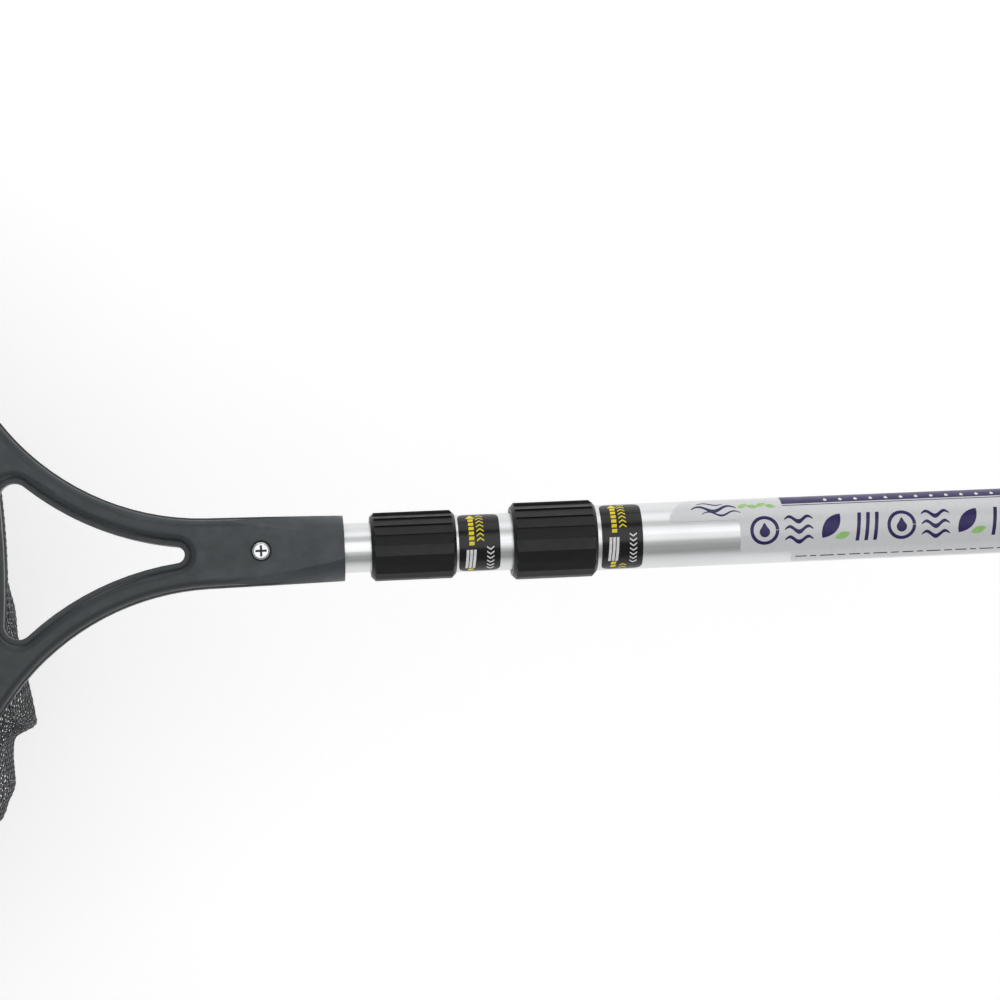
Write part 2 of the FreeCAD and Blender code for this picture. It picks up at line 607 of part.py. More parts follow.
class HeadPlan:
    """Centres and tangent points of the head's outlines; x from the mouth to the tip."""

    def __init__(self):
        turn = dims["shoulder_turn"]
        root = V(dims["neck_root"], dims["neck_root_r"], 0)
        rise = dims["neck_root_r"] - dims["neck_mouth_r"]
        self.neck_deg = math.degrees(math.atan2(rise, dims["neck_root"]))
        self.arm_centre = root - heading(self.neck_deg - 90) * dims["arm_curve_r"]
        self.inward = heading(turn - 90)
        self.arm_end = self.arm_centre + self.inward * dims["arm_curve_r"]
        climb = dims["shoulder_r"] * (1 - math.cos(math.radians(turn)))
        height = dims["hoop_half_width"] - climb - self.arm_end.y
        reach = height / math.sin(math.radians(turn))
        self.shoulder_end = self.arm_end + heading(turn) * reach
        self.side_centre = self.shoulder_end + self.inward * dims["shoulder_r"]
        corner_y = dims["hoop_half_width"] - dims["tip_corner_r"]
        tip_reach = dims["tip_curve_r"] - dims["tip_corner_r"]
        self.tip_deg = math.degrees(math.asin(corner_y / tip_reach))
        self.tip_centre = V(dims["tip_x"] - dims["tip_curve_r"], 0, 0)
        self.corner_centre = self.tip_centre + heading(self.tip_deg) * tip_reach
        self.bridge_centre = V(dims["bridge_x"] + dims["bridge_curve_r"], 0, 0)
        self._place_throat()
        self._place_mouth()

    def _place_throat(self):
        inner_r = dims["arm_curve_r"] + dims["arm_width"]
        apex_reach = inner_r + dims["throat_apex_r"]
        drop = self.arm_centre.y
        self.throat_apex = V(self.arm_centre.x + math.sqrt(apex_reach ** 2 - drop ** 2), 0, 0)
        self.throat_corner = circles_meet(
            self.arm_centre, inner_r + dims["throat_corner_r"],
            self.bridge_centre, dims["bridge_curve_r"] + dims["throat_corner_r"])

    def _place_mouth(self):
        """The mouth's near corner touches the shoulder's inner line and the bridge."""
        turn = heading(dims["shoulder_turn"])
        inset = dims["band_width"] + dims["mouth_corner_r"]
        base = self.arm_end + self.inward * inset - self.bridge_centre
        reach = dims["bridge_curve_r"] - dims["bridge_width"] - dims["mouth_corner_r"]
        half_b = base.dot(turn)
        step = -half_b - math.sqrt(half_b ** 2 - base.dot(base) + reach ** 2)
        self.mouth_corner = self.bridge_centre + base + turn * step

    def outer(self, inset=0.0):
        """Upper half of the silhouette, from the tip back to the mouth."""
        turn = dims["shoulder_turn"]
        side_y = dims["hoop_half_width"] - inset
        arm_r = dims["arm_curve_r"] + inset
        corner_r = dims["tip_corner_r"] - inset
        arm_start = self.arm_centre + heading(self.neck_deg - 90) * arm_r
        arm_end = self.arm_centre + self.inward * arm_r
        neck_y = arm_start.y - arm_start.x * math.tan(math.radians(self.neck_deg))
        side_r = dims["shoulder_r"] - inset
        return [
            ("arc", self.tip_centre, dims["tip_curve_r"] - inset, 0, self.tip_deg),
            ("arc", self.corner_centre, corner_r, self.tip_deg, 90),
            ("line", V(self.corner_centre.x, side_y, 0), V(self.side_centre.x, side_y, 0)),
            ("arc", self.side_centre, side_r, 90, 90 + turn),
            ("line", self.side_centre - self.inward * side_r, arm_end),
            ("arc", self.arm_centre, arm_r, self.neck_deg - 90, turn - 90),
            ("line", arm_start, V(0, neck_y, 0)),
            ("line", V(0, neck_y, 0), V(0, 0, 0)),
        ]

    def throat(self, grow=0.0):
        """Upper half of the window between the arms."""
        inner_r = dims["arm_curve_r"] + dims["arm_width"] - grow
        to_corner = bearing(self.arm_centre, self.throat_corner)
        to_bridge = bearing(self.throat_corner, self.bridge_centre)
        apex_deg = bearing(self.throat_apex, self.arm_centre)
        return [
            ("arc", self.throat_apex, dims["throat_apex_r"] + grow, apex_deg, 180),
            ("arc", self.arm_centre, inner_r, bearing(self.arm_centre, self.throat_apex), to_corner),
            ("arc", self.throat_corner, dims["throat_corner_r"] + grow, to_bridge, to_corner + 180),
            ("arc", self.bridge_centre, dims["bridge_curve_r"] - grow, to_bridge + 180, 180),
        ]

    def mouth(self, grow=0.0):
        """Upper half of the net's mouth."""
        band = dims["band_width"] - grow
        side_y = dims["hoop_half_width"] - band
        side_r = dims["shoulder_r"] - band
        corner_r = dims["mouth_corner_r"] + grow
        turn = dims["shoulder_turn"]
        near_deg = bearing(self.bridge_centre, self.mouth_corner)
        near_r = dims["bridge_curve_r"] - dims["bridge_width"] + grow
        return [
            ("arc", self.tip_centre, dims["tip_curve_r"] - band, 0, self.tip_deg),
            ("arc", self.corner_centre, dims["tip_corner_r"] - band, self.tip_deg, 90),
            ("line", V(self.corner_centre.x, side_y, 0), V(self.side_centre.x, side_y, 0)),
            ("arc", self.side_centre, side_r, 90, 90 + turn),
            ("line", self.side_centre - self.inward * side_r,
             self.mouth_corner - self.inward * corner_r),
            ("arc", self.mouth_corner, corner_r, 90 + turn, near_deg),
            ("arc", self.bridge_centre, near_r, near_deg, 180),
        ]

    def clamp_points(self):
        """Where the clamp screws stand, on the middle of the band."""
        middle = (dims["strip_inner"] + dims["strip_outer"]) / 2
        side_y = dims["hoop_half_width"] - dims["band_width"] + middle
        tip_r = dims["tip_curve_r"] - dims["band_width"] + middle
        corner_r = dims["tip_corner_r"] - dims["band_width"] + middle
        shoulder_r = dims["shoulder_r"] - dims["band_width"] + middle
        near_r = dims["bridge_curve_r"] - dims["bridge_width"] + middle
        line_middle = (self.arm_end + self.shoulder_end) * 0.5
        upper = [
            self.tip_centre + heading(3.6) * tip_r,
            self.corner_centre + heading(48) * corner_r,
            V((self.corner_centre.x + self.side_centre.x) / 2 - 10, side_y, 0),
            self.side_centre + heading(112) * shoulder_r,
            line_middle + self.inward * (dims["band_width"] - middle),
            self.bridge_centre + heading(180 - 4.6) * near_r,
        ]
        return upper + [V(point.x, -point.y, 0) for point in upper]


plan = HeadPlan()


def flipped(segment):
    """The same stretch on the other side of the handle's axis."""
    if segment[0] == "line":
        return ("line", *(V(point.x, -point.y, 0) for point in segment[1:]))
    kind, centre, radius, start, end = segment
    return (kind, V(centre.x, -centre.y, 0), radius, -end, -start)


def closed_loop(half):
    """Geometry of a whole outline from its upper half."""
    pieces = []
    for segment in half + [flipped(item) for item in half]:
        if segment[0] == "line":
            pieces.append(Part.LineSegment(segment[1], segment[2]))
        else:
            _, centre, radius, start, end = segment
            pieces.append(arc((centre.x, centre.y), radius, start, end))
    return pieces


def add_loops(sketch, *halves):
    for half in halves:
        for piece in closed_loop(half):
            sketch.addGeometry(piece, False)


# ---- moulded head ----

# The barrel's nose: share of its length, share of the barrel's radius, from the tip back.
BARREL_NOSE = ((1.0, 0.42), (0.85, 0.66), (0.55, 0.88), (0.2, 0.98), (0.0, 1.0))


def make_net_frame():
    """Socket, arms, bridge and hoop in one moulding, crowned on its face."""
    body = new_body("net_frame", at("mouth_x"), half_turn=True)
    face = at("face_z")
    crown = at("crown_z")

    rear = sketch_on(body, "XY_Plane", at("plate_z"))
    add_loops(rear, plan.outer(), plan.throat(), plan.mouth())
    pad(body, rear, both(crown, at("plate_z"), -1))

    front = sketch_on(body, "XY_Plane", crown)
    inset = dims["crown_inset"]
    add_loops(front, plan.outer(inset), plan.throat(dims["throat_ledge"]), plan.mouth(inset))
    pad(body, front, both(face, crown, -1))

    top = dims["face_z"]
    fillet(body, at("crown_fillet"), lambda p: abs(p.z - top) < 1e-4 and p.x > 0.01)

    cut(body, underside_sketch(body), None, both_sides=True)

    barrel = dims["barrel_r"]
    nose_base = dims["socket_depth"]
    nose = [(number(nose_base + share * dims["barrel_nose"]), number(height * barrel))
            for share, height in BARREL_NOSE]
    tip = (both(at("socket_depth"), at("barrel_nose")), ZERO)
    revolve(body, [(ZERO, ZERO), tip, *nose, (ZERO, at("barrel_r"))])

    shave = sketch_on(body, "XY_Plane", face)
    reach = number(2 * dims["neck_root"])
    half = number(2 * dims["neck_root_r"])
    low = number(-2 * dims["neck_root_r"])
    before_mouth = number(-1)
    add_polygon(shave, [(before_mouth, low), (reach, low), (reach, half), (before_mouth, half)])
    cut(body, shave, both(at("barrel_r"), at("barrel_r")), reverse=True)

    cone_end = at("neck_cone_len")
    cone_r = both(at("barrel_r"), at("neck_cone_rise"))
    clear_r = number(3 * barrel)
    revolve(body, [(ZERO, at("barrel_r")), (cone_end, cone_r), (cone_end, clear_r),
                   (before_mouth, clear_r), (before_mouth, at("barrel_r"))],
            "PartDesign::Groove")

    socket = sketch_on(body, "YZ_Plane")
    add_circle(socket, (ZERO, ZERO), at("inner_tube_r", dims["socket_gap"]))
    cut(body, socket, at("socket_depth"), reverse=True)

    drill(body, at("screw_x"), at("counterbore_r"), at("counterbore_depth"), face)
    drill(body, at("screw_x"), at("screw_r", dims["drill_gap"]), at("screw_hole_depth"), face)

    pilots = sketch_on(body, "XY_Plane", at("hoop_z"))
    for point in plan.clamp_points():
        add_circle(pilots, (number(point.x), number(point.y)),
                   at("clamp_screw_r", dims["drill_gap"]))
    cut(body, pilots, at("clamp_screw_len"), reverse=True)
    return body


def underside_sketch(body):
    """Side view of what is cleared below the arms and the hoop."""
    sketch = sketch_on(body, "XZ_Plane")
    far = number(dims["tip_x"] + 10)
    deep = at("plate_z", -10)
    add_polygon(sketch, [(at("underside_start"), at("plate_z", -0.01)),
                         (at("underside_end"), at("hoop_z")), (far, at("hoop_z")),
                         (far, deep), (at("underside_start"), deep)])
    return sketch


def make_head_screw():
    """A pan-head screw with a cross recess."""
    station = both(at("mouth_x"), at("screw_x"), -1)
    body = new_body("head_screw", station)
    seat = at("face_z", -dims["counterbore_depth"])
    shank = sketch_on(body, "XY_Plane", both(seat, at("screw_len"), -1))
    add_circle(shank, (ZERO, ZERO), at("screw_r"))
    pad(body, shank, at("screw_len"))
    head = sketch_on(body, "XY_Plane", seat)
    add_circle(head, (ZERO, ZERO), at("screw_head_r"))
    pad(body, head, at("screw_head_len"))
    top = seat[0] + dims["screw_head_len"]
    fillet(body, number(1.5), lambda p: abs(p.z - top) < 1e-4)
    for length, width in (("recess_len", "recess_width"), ("recess_width", "recess_len")):
        recess = sketch_on(body, "XY_Plane", both(seat, at("screw_head_len")))
        across = number(dims[length] / 2)
        back_across = number(-dims[length] / 2)
        up = number(dims[width] / 2)
        down = number(-dims[width] / 2)
        add_polygon(recess, [(back_across, down), (across, down), (across, up), (back_across, up)])
        cut(body, recess, at("recess_depth"))


def make_tube_core_plug():
    """A solid plug in the inner tube that gives the head screw its thread."""
    far = both(at("core_x"), at("core_len"))
    body = new_body("tube_core_plug", both(at("mouth_x"), far, -1))
    plug_r = at("inner_tube_r", -dims["tube_wall"] - dims["drill_gap"])
    revolve(body, [(ZERO, ZERO), (at("core_len"), ZERO), (at("core_len"), plug_r), (ZERO, plug_r)])
    sketch = sketch_on(body, "XY_Plane")
    add_circle(sketch, (both(far, at("screw_x"), -1), ZERO), at("screw_r", dims["drill_gap"]))
    cut(body, sketch, None, both_sides=True)


# ---- net ----

def make_band(name, top, thickness, inner, outer, hole_r):
    """A flat ring under the hoop, with holes for the clamp screws."""
    body = new_body(name, at("mouth_x"), half_turn=True)
    sketch = sketch_on(body, "XY_Plane", both(top, thickness, -1))
    add_loops(sketch, plan.mouth(outer), plan.mouth(inner))
    pad(body, sketch, thickness)
    holes = sketch_on(body, "XY_Plane", top)
    for point in plan.clamp_points():
        add_circle(holes, (number(point.x), number(point.y)), number(hole_r))
    cut(body, holes, both(thickness, thickness))
    return body


def make_clamp_screws(strip_bottom):
    """The strip's screws, one group of separate solids."""
    group = doc.addObject("Part::Feature", "clamp_screws")
    group.Label = "clamp_screws"
    stand = dims["hem_thick"] + dims["strip_thick"] + 2 * dims["layer_gap"]
    length = dims["clamp_screw_len"] + stand - 0.5
    screws = []
    for point in plan.clamp_points():
        base = V(point.x, point.y, strip_bottom)
        shank = Part.makeCylinder(dims["clamp_screw_r"], length, base)
        head = Part.makeCone(dims["clamp_head_r"] - 0.8, dims["clamp_head_r"],
                             dims["clamp_head_len"], base - V(0, 0, dims["clamp_head_len"]))
        screws.append(shank.fuse(head).removeSplitter())
    group.Shape = Part.makeCompound(screws)
    place_on_head(group)


def place_on_head(feature):
    turn = FreeCAD.Rotation(V(0, 0, 1), 180)
    feature.Placement = FreeCAD.Placement(V(dims["mouth_x"], 0, 0), turn)
    nodes.append(feature)


def bag_section(grow, z, scale):
    """The mouth's outline, narrowed towards the bag's axis, at a height."""
    edges = [piece.toShape() for piece in closed_loop(plan.mouth(grow))]
    wire = Part.Wire(Part.__sortEdges__(edges))
    shape = wire.copy()
    shape.scale(scale, V(dims["bag_centre_x"], 0, 0))
    shape.translate(V(0, 0, z))
    return shape


BAG_SECTIONS = ((0.0, 1.0), (0.33, 0.95), (0.66, 0.88), (0.88, 0.77), (1.0, 0.55))


def make_net_bag(top_z):
    """The bag's outer shape with its open mouth; it stands for the netting."""
    feature = doc.addObject("Part::Feature", "net_bag")
    feature.Label = "net_bag"
    wall = dims["bag_wall"]
    depth = dims["bag_depth"]
    outside = []
    inside = []
    for share, scale in BAG_SECTIONS:
        outside.append(bag_section(dims["bag_edge"], top_z - share * depth, scale))
        inner_z = top_z + 1.0 - share * (depth + 1.0 - wall)
        inside.append(bag_section(dims["bag_edge"] - wall, inner_z, scale))
    shell = Part.makeLoft(outside, True, False).cut(Part.makeLoft(inside, True, False))
    feature.Shape = shell.Solids[0]
    place_on_head(feature)


make_hand_grip()
make_end_cap()
make_film("front_lock_sticker", "middle_tube", at("front_sticker_x"), at("sticker_len"),
          "sticker_turn", 0)
make_film("rear_lock_sticker", "outer_tube", at("rear_sticker_x"), at("sticker_len"),
          "sticker_turn", 0)
make_film("tube_label", "outer_tube", at("label_x"), at("label_len"), "label_turn",
          dims["label_middle"])
make_net_frame()
make_head_screw()
make_tube_core_plug()

hem_top = at("hoop_z", -dims["layer_gap"])
strip_top = at("hoop_z", -2 * dims["layer_gap"] - dims["hem_thick"])
make_band("net_hem", hem_top, at("hem_thick"), dims["hem_inner"], dims["hem_outer"],
          dims["clamp_screw_r"] + 0.2)
make_band("clamp_strip", strip_top, at("strip_thick"), dims["strip_inner"], dims["strip_outer"],
          dims["clamp_screw_r"] + 0.1)
make_clamp_screws(strip_top[0] - dims["strip_thick"])
make_net_bag(hem_top[0] - dims["hem_thick"] - dims["layer_gap"])

# ---- checks and export ----

doc.recompute()
for item in doc.Objects:
    if "Invalid" in item.State or "Error" in item.State:
        raise RuntimeError(f"{item.Name} is {item.State}")
for item in nodes:
    if item.Shape.isNull() or not item.Shape.isValid():
        raise RuntimeError(f"{item.Label} has no valid shape")

os.makedirs("parts", exist_ok=True)
for item in nodes:
    item.Shape.exportStep(f"parts/{item.Label}.step")
print(len(nodes), "nodes")
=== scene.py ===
"""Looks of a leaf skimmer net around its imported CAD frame.

The moulded head and the telescopic handle are the CAD's own shapes with materials. The net
bag with its tapes and seams, the hem and the printed films are made here.
"""

import json
import math

import bmesh
import bpy
import numpy as np
from mathutils import Matrix, Vector
from mathutils.bvhtree import BVHTree


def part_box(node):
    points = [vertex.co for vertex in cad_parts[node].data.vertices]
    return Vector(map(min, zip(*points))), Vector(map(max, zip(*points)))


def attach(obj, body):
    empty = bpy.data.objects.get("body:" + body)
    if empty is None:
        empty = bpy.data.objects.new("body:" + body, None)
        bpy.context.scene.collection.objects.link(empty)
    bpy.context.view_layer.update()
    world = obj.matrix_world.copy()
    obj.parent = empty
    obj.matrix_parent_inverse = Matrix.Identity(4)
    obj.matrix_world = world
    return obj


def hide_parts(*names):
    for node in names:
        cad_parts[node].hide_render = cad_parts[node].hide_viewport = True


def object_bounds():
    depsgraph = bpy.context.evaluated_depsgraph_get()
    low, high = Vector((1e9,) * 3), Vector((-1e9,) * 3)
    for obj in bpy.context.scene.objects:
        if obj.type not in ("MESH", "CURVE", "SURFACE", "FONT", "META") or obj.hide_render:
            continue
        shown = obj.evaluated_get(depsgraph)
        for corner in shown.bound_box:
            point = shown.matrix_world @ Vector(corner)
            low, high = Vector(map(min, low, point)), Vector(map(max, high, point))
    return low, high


MM = 0.001

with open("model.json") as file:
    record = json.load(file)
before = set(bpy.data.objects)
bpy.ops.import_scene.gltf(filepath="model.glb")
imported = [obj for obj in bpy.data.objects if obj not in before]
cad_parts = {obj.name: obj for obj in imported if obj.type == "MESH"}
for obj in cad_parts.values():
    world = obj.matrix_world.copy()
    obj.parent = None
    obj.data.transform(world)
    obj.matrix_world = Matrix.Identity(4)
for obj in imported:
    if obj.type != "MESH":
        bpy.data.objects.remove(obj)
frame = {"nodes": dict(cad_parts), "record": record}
cad_low, cad_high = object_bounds()
scene = bpy.context.scene
scene.view_settings.view_transform = "Standard"


# ---------------------------------------------------------------- materials


class Look:
    """A material with one Principled shader and short calls for the nodes that feed it."""

    def __init__(self, name, colour, roughness, metallic=0.0, **sockets):
        self.material = bpy.data.materials.new(name)
        self.material.use_nodes = True
        self.tree = self.material.node_tree
        self.tree.nodes.clear()
        out = self.tree.nodes.new("ShaderNodeOutputMaterial")
        self.shader = self.tree.nodes.new("ShaderNodeBsdfPrincipled")
        self.join(self.shader.outputs[0], out.inputs["Surface"])
        self.shader.inputs["Base Color"].default_value = (*colour, 1)
        self.shader.inputs["Roughness"].default_value = roughness
        self.shader.inputs["Metallic"].default_value = metallic
        for key, value in sockets.items():
            self.shader.inputs[key.replace("_", " ")].default_value = value
        self.place = self.node("ShaderNodeTexCoord").outputs["Object"]

    def node(self, kind, **settings):
        made = self.tree.nodes.new(kind)
        for key, value in settings.items():
            setattr(made, key, value)
        return made

    def join(self, source, target):
        self.tree.links.new(source, target)

    def stretched(self, scale):
        made = self.node("ShaderNodeMapping")
        made.inputs["Scale"].default_value = scale
        self.join(self.place, made.inputs["Vector"])
        return made.outputs["Vector"]

    def noise(self, scale, detail=3.0, stretch=(1, 1, 1), roughness=0.55):
        made = self.node("ShaderNodeTexNoise")
        made.inputs["Scale"].default_value = scale
        made.inputs["Detail"].default_value = detail
        made.inputs["Roughness"].default_value = roughness
        self.join(self.stretched(stretch), made.inputs["Vector"])
        return made.outputs["Fac"]

    def wave(self, scale, direction, distortion=0.0, stretch=(1, 1, 1)):
        made = self.node(
            "ShaderNodeTexWave", wave_type="BANDS", bands_direction=direction
        )
        made.inputs["Scale"].default_value = scale
        made.inputs["Distortion"].default_value = distortion
        self.join(self.stretched(stretch), made.inputs["Vector"])
        return made.outputs["Fac"]

    def spread(self, factor, low, high, source=(0.3, 0.7)):
        made = self.node("ShaderNodeMapRange")
        for socket, value in zip(
            ("From Min", "From Max", "To Min", "To Max"), (*source, low, high)
        ):
            made.inputs[socket].default_value = value
        self.join(factor, made.inputs["Value"])
        return made.outputs["Result"]

    def colours(self, factor, low, high, source=(0.3, 0.7)):
        made = self.node("ShaderNodeValToRGB")
        ends = made.color_ramp.elements
        ends[0].position, ends[1].position = source
        ends[0].color, ends[1].color = (*low, 1), (*high, 1)
        self.join(factor, made.inputs["Fac"])
        return made.outputs["Color"]

    def mixed(self, factor, a, b):
        made = self.node("ShaderNodeMix", data_type="RGBA")
        self.join(factor, made.inputs["Factor"])
        self.join(a, made.inputs["A"])
        self.join(b, made.inputs["B"])
        return made.outputs["Result"]

    def sum_of(self, a, b, share):
        made = self.node("ShaderNodeMath", operation="MULTIPLY_ADD")
        self.join(b, made.inputs[0])
        made.inputs[1].default_value = share
        self.join(a, made.inputs[2])
        return made.outputs[0]

    def colour_by(self, socket):
        self.join(socket, self.shader.inputs["Base Color"])

    def roughness_by(self, socket):
        self.join(socket, self.shader.inputs["Roughness"])

    def bump(self, height, distance, strength=1.0):
        made = self.node("ShaderNodeBump")
        made.inputs["Distance"].default_value = distance
        made.inputs["Strength"].default_value = strength
        self.join(height, made.inputs["Height"])
        self.join(made.outputs["Normal"], self.shader.inputs["Normal"])

    def edges(self, low=0.5, high=0.56):
        """0 in the open, 1 on sharp outer edges, where parts wear."""
        found = self.node("ShaderNodeNewGeometry").outputs["Pointiness"]
        return self.spread(found, 0.0, 1.0, (low, high))


def moulded(
    name, colour, roughness, grain=1500, depth=0.00003, wear=1.6, cloud=0.13, **sockets
):
    """Moulded plastic: fine spark texture, slow change of tone and rubbed, lighter edges."""
    look = Look(name, colour, roughness, **sockets)
    tone = look.noise(38, 4)
    dark = tuple(c * (1 - cloud) for c in colour)
    light = tuple(c * (1 + cloud) for c in colour)
    worn = tuple(min(1.0, c * wear) for c in colour)
    base = look.colours(tone, dark, light)
    rubbed = look.node("ShaderNodeMath", operation="MULTIPLY")
    look.join(look.edges(), rubbed.inputs[0])
    look.join(look.spread(look.noise(90, 5), 0.1, 0.9), rubbed.inputs[1])
    edge_tone = look.node("ShaderNodeRGB")
    edge_tone.outputs[0].default_value = (*worn, 1)
    look.colour_by(look.mixed(rubbed.outputs[0], base, edge_tone.outputs[0]))
    look.roughness_by(look.spread(look.noise(220, 4), roughness - 0.07, roughness + 0.08))
    look.bump(look.sum_of(look.noise(grain, 2), tone, 0.6), depth)
    return look.material


def drawn_metal(name, colour, roughness, along=(6, 900, 900), depth=0.000012, **sockets):
    """Drawn or turned metal: fine lines one way, faint clouding of the finish."""
    look = Look(name, colour, roughness, metallic=1.0, **sockets)
    lines = look.noise(1.0, 3, along)
    cloud = look.noise(26, 4)
    dark = tuple(c * 0.90 for c in colour)
    look.colour_by(look.colours(look.sum_of(cloud, lines, 0.5), dark, colour, (0.5, 1.0)))
    look.roughness_by(look.spread(lines, roughness - 0.05, roughness + 0.08))
    look.bump(lines, depth)
    return look.material


def woven(name, colour, roughness, pitch, depth, sheen=0.3):
    """Polyester webbing: fine ribs both ways with dusty tone changes."""
    look = Look(name, colour, roughness, Sheen_Weight=sheen, Sheen_Roughness=0.5)
    ribs = look.wave(1.0, "DIAGONAL", 0.4, (1 / pitch,) * 3)
    cross = look.wave(1.0, "Z", 0.3, (0.0, 0.0, 1.4 / pitch))
    weave = look.sum_of(ribs, cross, 0.7)
    light = tuple(min(1.0, c * 2.1 + 0.006) for c in colour)
    tone = look.sum_of(weave, look.noise(60, 4), 0.8)
    look.colour_by(look.colours(tone, colour, light, (0.5, 2.0)))
    look.bump(weave, depth)
    return look.material


def printed_ink(name, colour, roughness=0.34):
    """Screen-printed ink: slightly uneven coverage, satin."""
    look = Look(name, colour, roughness, Specular_IOR_Level=0.3, Coat_Weight=0.08)
    pale = tuple(min(1.0, c * 1.1 + 0.01) for c in colour)
    worn = tuple(c * 0.88 for c in colour)
    look.colour_by(look.colours(look.noise(420, 5), worn, pale))
    look.roughness_by(look.spread(look.noise(150, 3), roughness - 0.06, roughness + 0.1))
    return look.material


def net_yarn():
    """Twisted black polyester yarn of the net: soft sheen, grey where it catches light."""
    look = Look(
        "net_yarn", (0.017, 0.018, 0.020), 0.46, Sheen_Weight=0.25, Sheen_Roughness=0.4
    )
    look.shader.inputs["Sheen Tint"].default_value = (0.75, 0.8, 0.85, 1)
    tone = look.noise(70, 4)
    look.colour_by(look.colours(tone, (0.010, 0.0105, 0.012), (0.036, 0.038, 0.042)))
    return look.material


def chrome_with_painted_recess_shade():
    """Bright plated screw head whose cross recess is painted near black as shade, by its depth below
    the head's top.
    """
    look = Look("bright_chrome", (0.62, 0.63, 0.64), 0.2, metallic=1.0)
    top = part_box("head_screw")[1].z
    place = look.node("ShaderNodeSeparateXYZ")
    look.join(look.place, place.inputs[0])
    # Painted shade: the colour turns near black with depth below the head's top, where the cross
    # recess lies in shadow.
    height = look.spread(place.outputs["Z"], 0.0, 1.0, (top - 1.3 * MM, top - 0.5 * MM))
    look.colour_by(look.colours(height, (0.03, 0.03, 0.032), (0.60, 0.61, 0.62), (0.0, 1.0)))
    look.roughness_by(look.spread(look.noise(600, 3), 0.16, 0.30))
    return look.material


LOOKS = {
    "aluminium": drawn_metal("satin_aluminium", (0.76, 0.77, 0.775), 0.33),
    "grey_moulding": moulded(
        "grey_moulding", (0.036, 0.043, 0.047), 0.42, wear=1.7, Specular_IOR_Level=0.4
    ),
    "sleeve_plastic": moulded(
        "sleeve_plastic", (0.0075, 0.0080, 0.0088), 0.36, grain=1100, wear=1.25,
        Specular_IOR_Level=0.29,
    ),
    "grip_rubber": moulded(
        "grip_rubber", (0.020, 0.020, 0.021), 0.68, grain=900, depth=0.00006, wear=1.5
    ),
    "cap_plastic": moulded("cap_plastic", (0.028, 0.031, 0.034), 0.42, wear=2.0),
    "white_nylon": moulded(
        "white_nylon", (0.72, 0.71, 0.67), 0.36, wear=1.05, Subsurface_Weight=0.12
    ),
    "cam_plastic": moulded("cam_plastic", (0.10, 0.13, 0.17), 0.38, wear=1.5),
    "chrome_screw": chrome_with_painted_recess_shade(),
    "steel": drawn_metal("zinc_steel", (0.62, 0.62, 0.60), 0.30, along=(400, 400, 400)),
    "net": net_yarn(),
    "hem_webbing": woven("hem_webbing", (0.010, 0.0105, 0.012), 0.72, 0.0016, 0.00016),
    "sticker_film": moulded(
        "sticker_film", (0.005, 0.005, 0.0055), 0.22, grain=500, depth=0.000008,
        wear=1.1, Specular_IOR_Level=0.3, Coat_Weight=0.15, Coat_Roughness=0.08,
    ),
    "label_film": moulded(
        "label_film", (0.70, 0.705, 0.72), 0.30, grain=420, depth=0.000006, wear=1.02,
        cloud=0.025, Coat_Weight=0.3, Coat_Roughness=0.12,
    ),
}
INK = {
    "yellow": printed_ink("ink_yellow", (0.86, 0.70, 0.015)),
    "white": printed_ink("ink_white", (0.82, 0.82, 0.82)),
    "indigo": printed_ink("ink_indigo", (0.021, 0.011, 0.105)),
    "navy": printed_ink("ink_navy", (0.012, 0.018, 0.10)),
    "green": printed_ink("ink_green", (0.33, 0.62, 0.20)),
    "black": printed_ink("ink_black", (0.012, 0.012, 0.014)),
}

slot_of = {
    part["node"]: part["material_slot"] for part in frame["record"]["subparts"]
}
for node_name, node in frame["nodes"].items():
    node.data.materials.clear()
    node.data.materials.append(LOOKS[slot_of[node_name]])


# ---------------------------------------------------------------- meshes


def mesh_piece(name, points, faces, material, body, smooth=True):
    """A piece from points and faces in the shared frame, riding on a CAD body."""
    mesh = bpy.data.meshes.new(name)
    mesh.from_pydata(
        np.asarray(points, float).tolist(), [], np.asarray(faces, dtype=object).tolist()
    )
    mesh.polygons.foreach_set("use_smooth", [smooth] * len(mesh.polygons))
    mesh.materials.append(material)
    mesh.update()
    piece = bpy.data.objects.new(name, mesh)
    scene.collection.objects.link(piece)
    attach(piece, body)
    return piece


def unit(vectors):
    return vectors / np.maximum(np.linalg.norm(vectors, axis=-1, keepdims=True), 1e-12)


def swept(path, outward, profile, closed):
    """Points and faces of a profile of (outward, sideways) points swept along a path."""
    path, profile = np.asarray(path, float), np.asarray(profile, float)
    if closed:
        ahead, behind = np.roll(path, -1, 0), np.roll(path, 1, 0)
    else:
        ahead = np.concatenate([path[1:], path[-1:]])
        behind = np.concatenate([path[:1], path[:-1]])
    side = unit(np.cross(unit(ahead - behind), outward))
    points = (
        path[:, None]
        + profile[None, :, :1] * outward[:, None]
        + profile[None, :, 1:] * side[:, None]
    )
    count, ring = len(path), len(profile)
    i = np.arange(count if closed else count - 1)[:, None]
    k = np.arange(ring)[None, :]
    nxt, turn = (i + 1) % count, (k + 1) % ring
    faces = np.stack(
        [i * ring + k, i * ring + turn, nxt * ring + turn, nxt * ring + k], -1
    )
    faces = faces.reshape(-1, 4).tolist()
    if not closed:
        faces.append(list(range(ring))[::-1])
        faces.append([(count - 1) * ring + n for n in range(ring)])
    return points.reshape(-1, 3), faces


def joined(parts):
    """One set of points and faces from several."""
    points, faces, start = [], [], 0
    for some_points, some_faces in parts:
        points.append(some_points)
        faces += [[start + n for n in face] for face in some_faces]
        start += len(some_points)
    return np.concatenate(points), faces


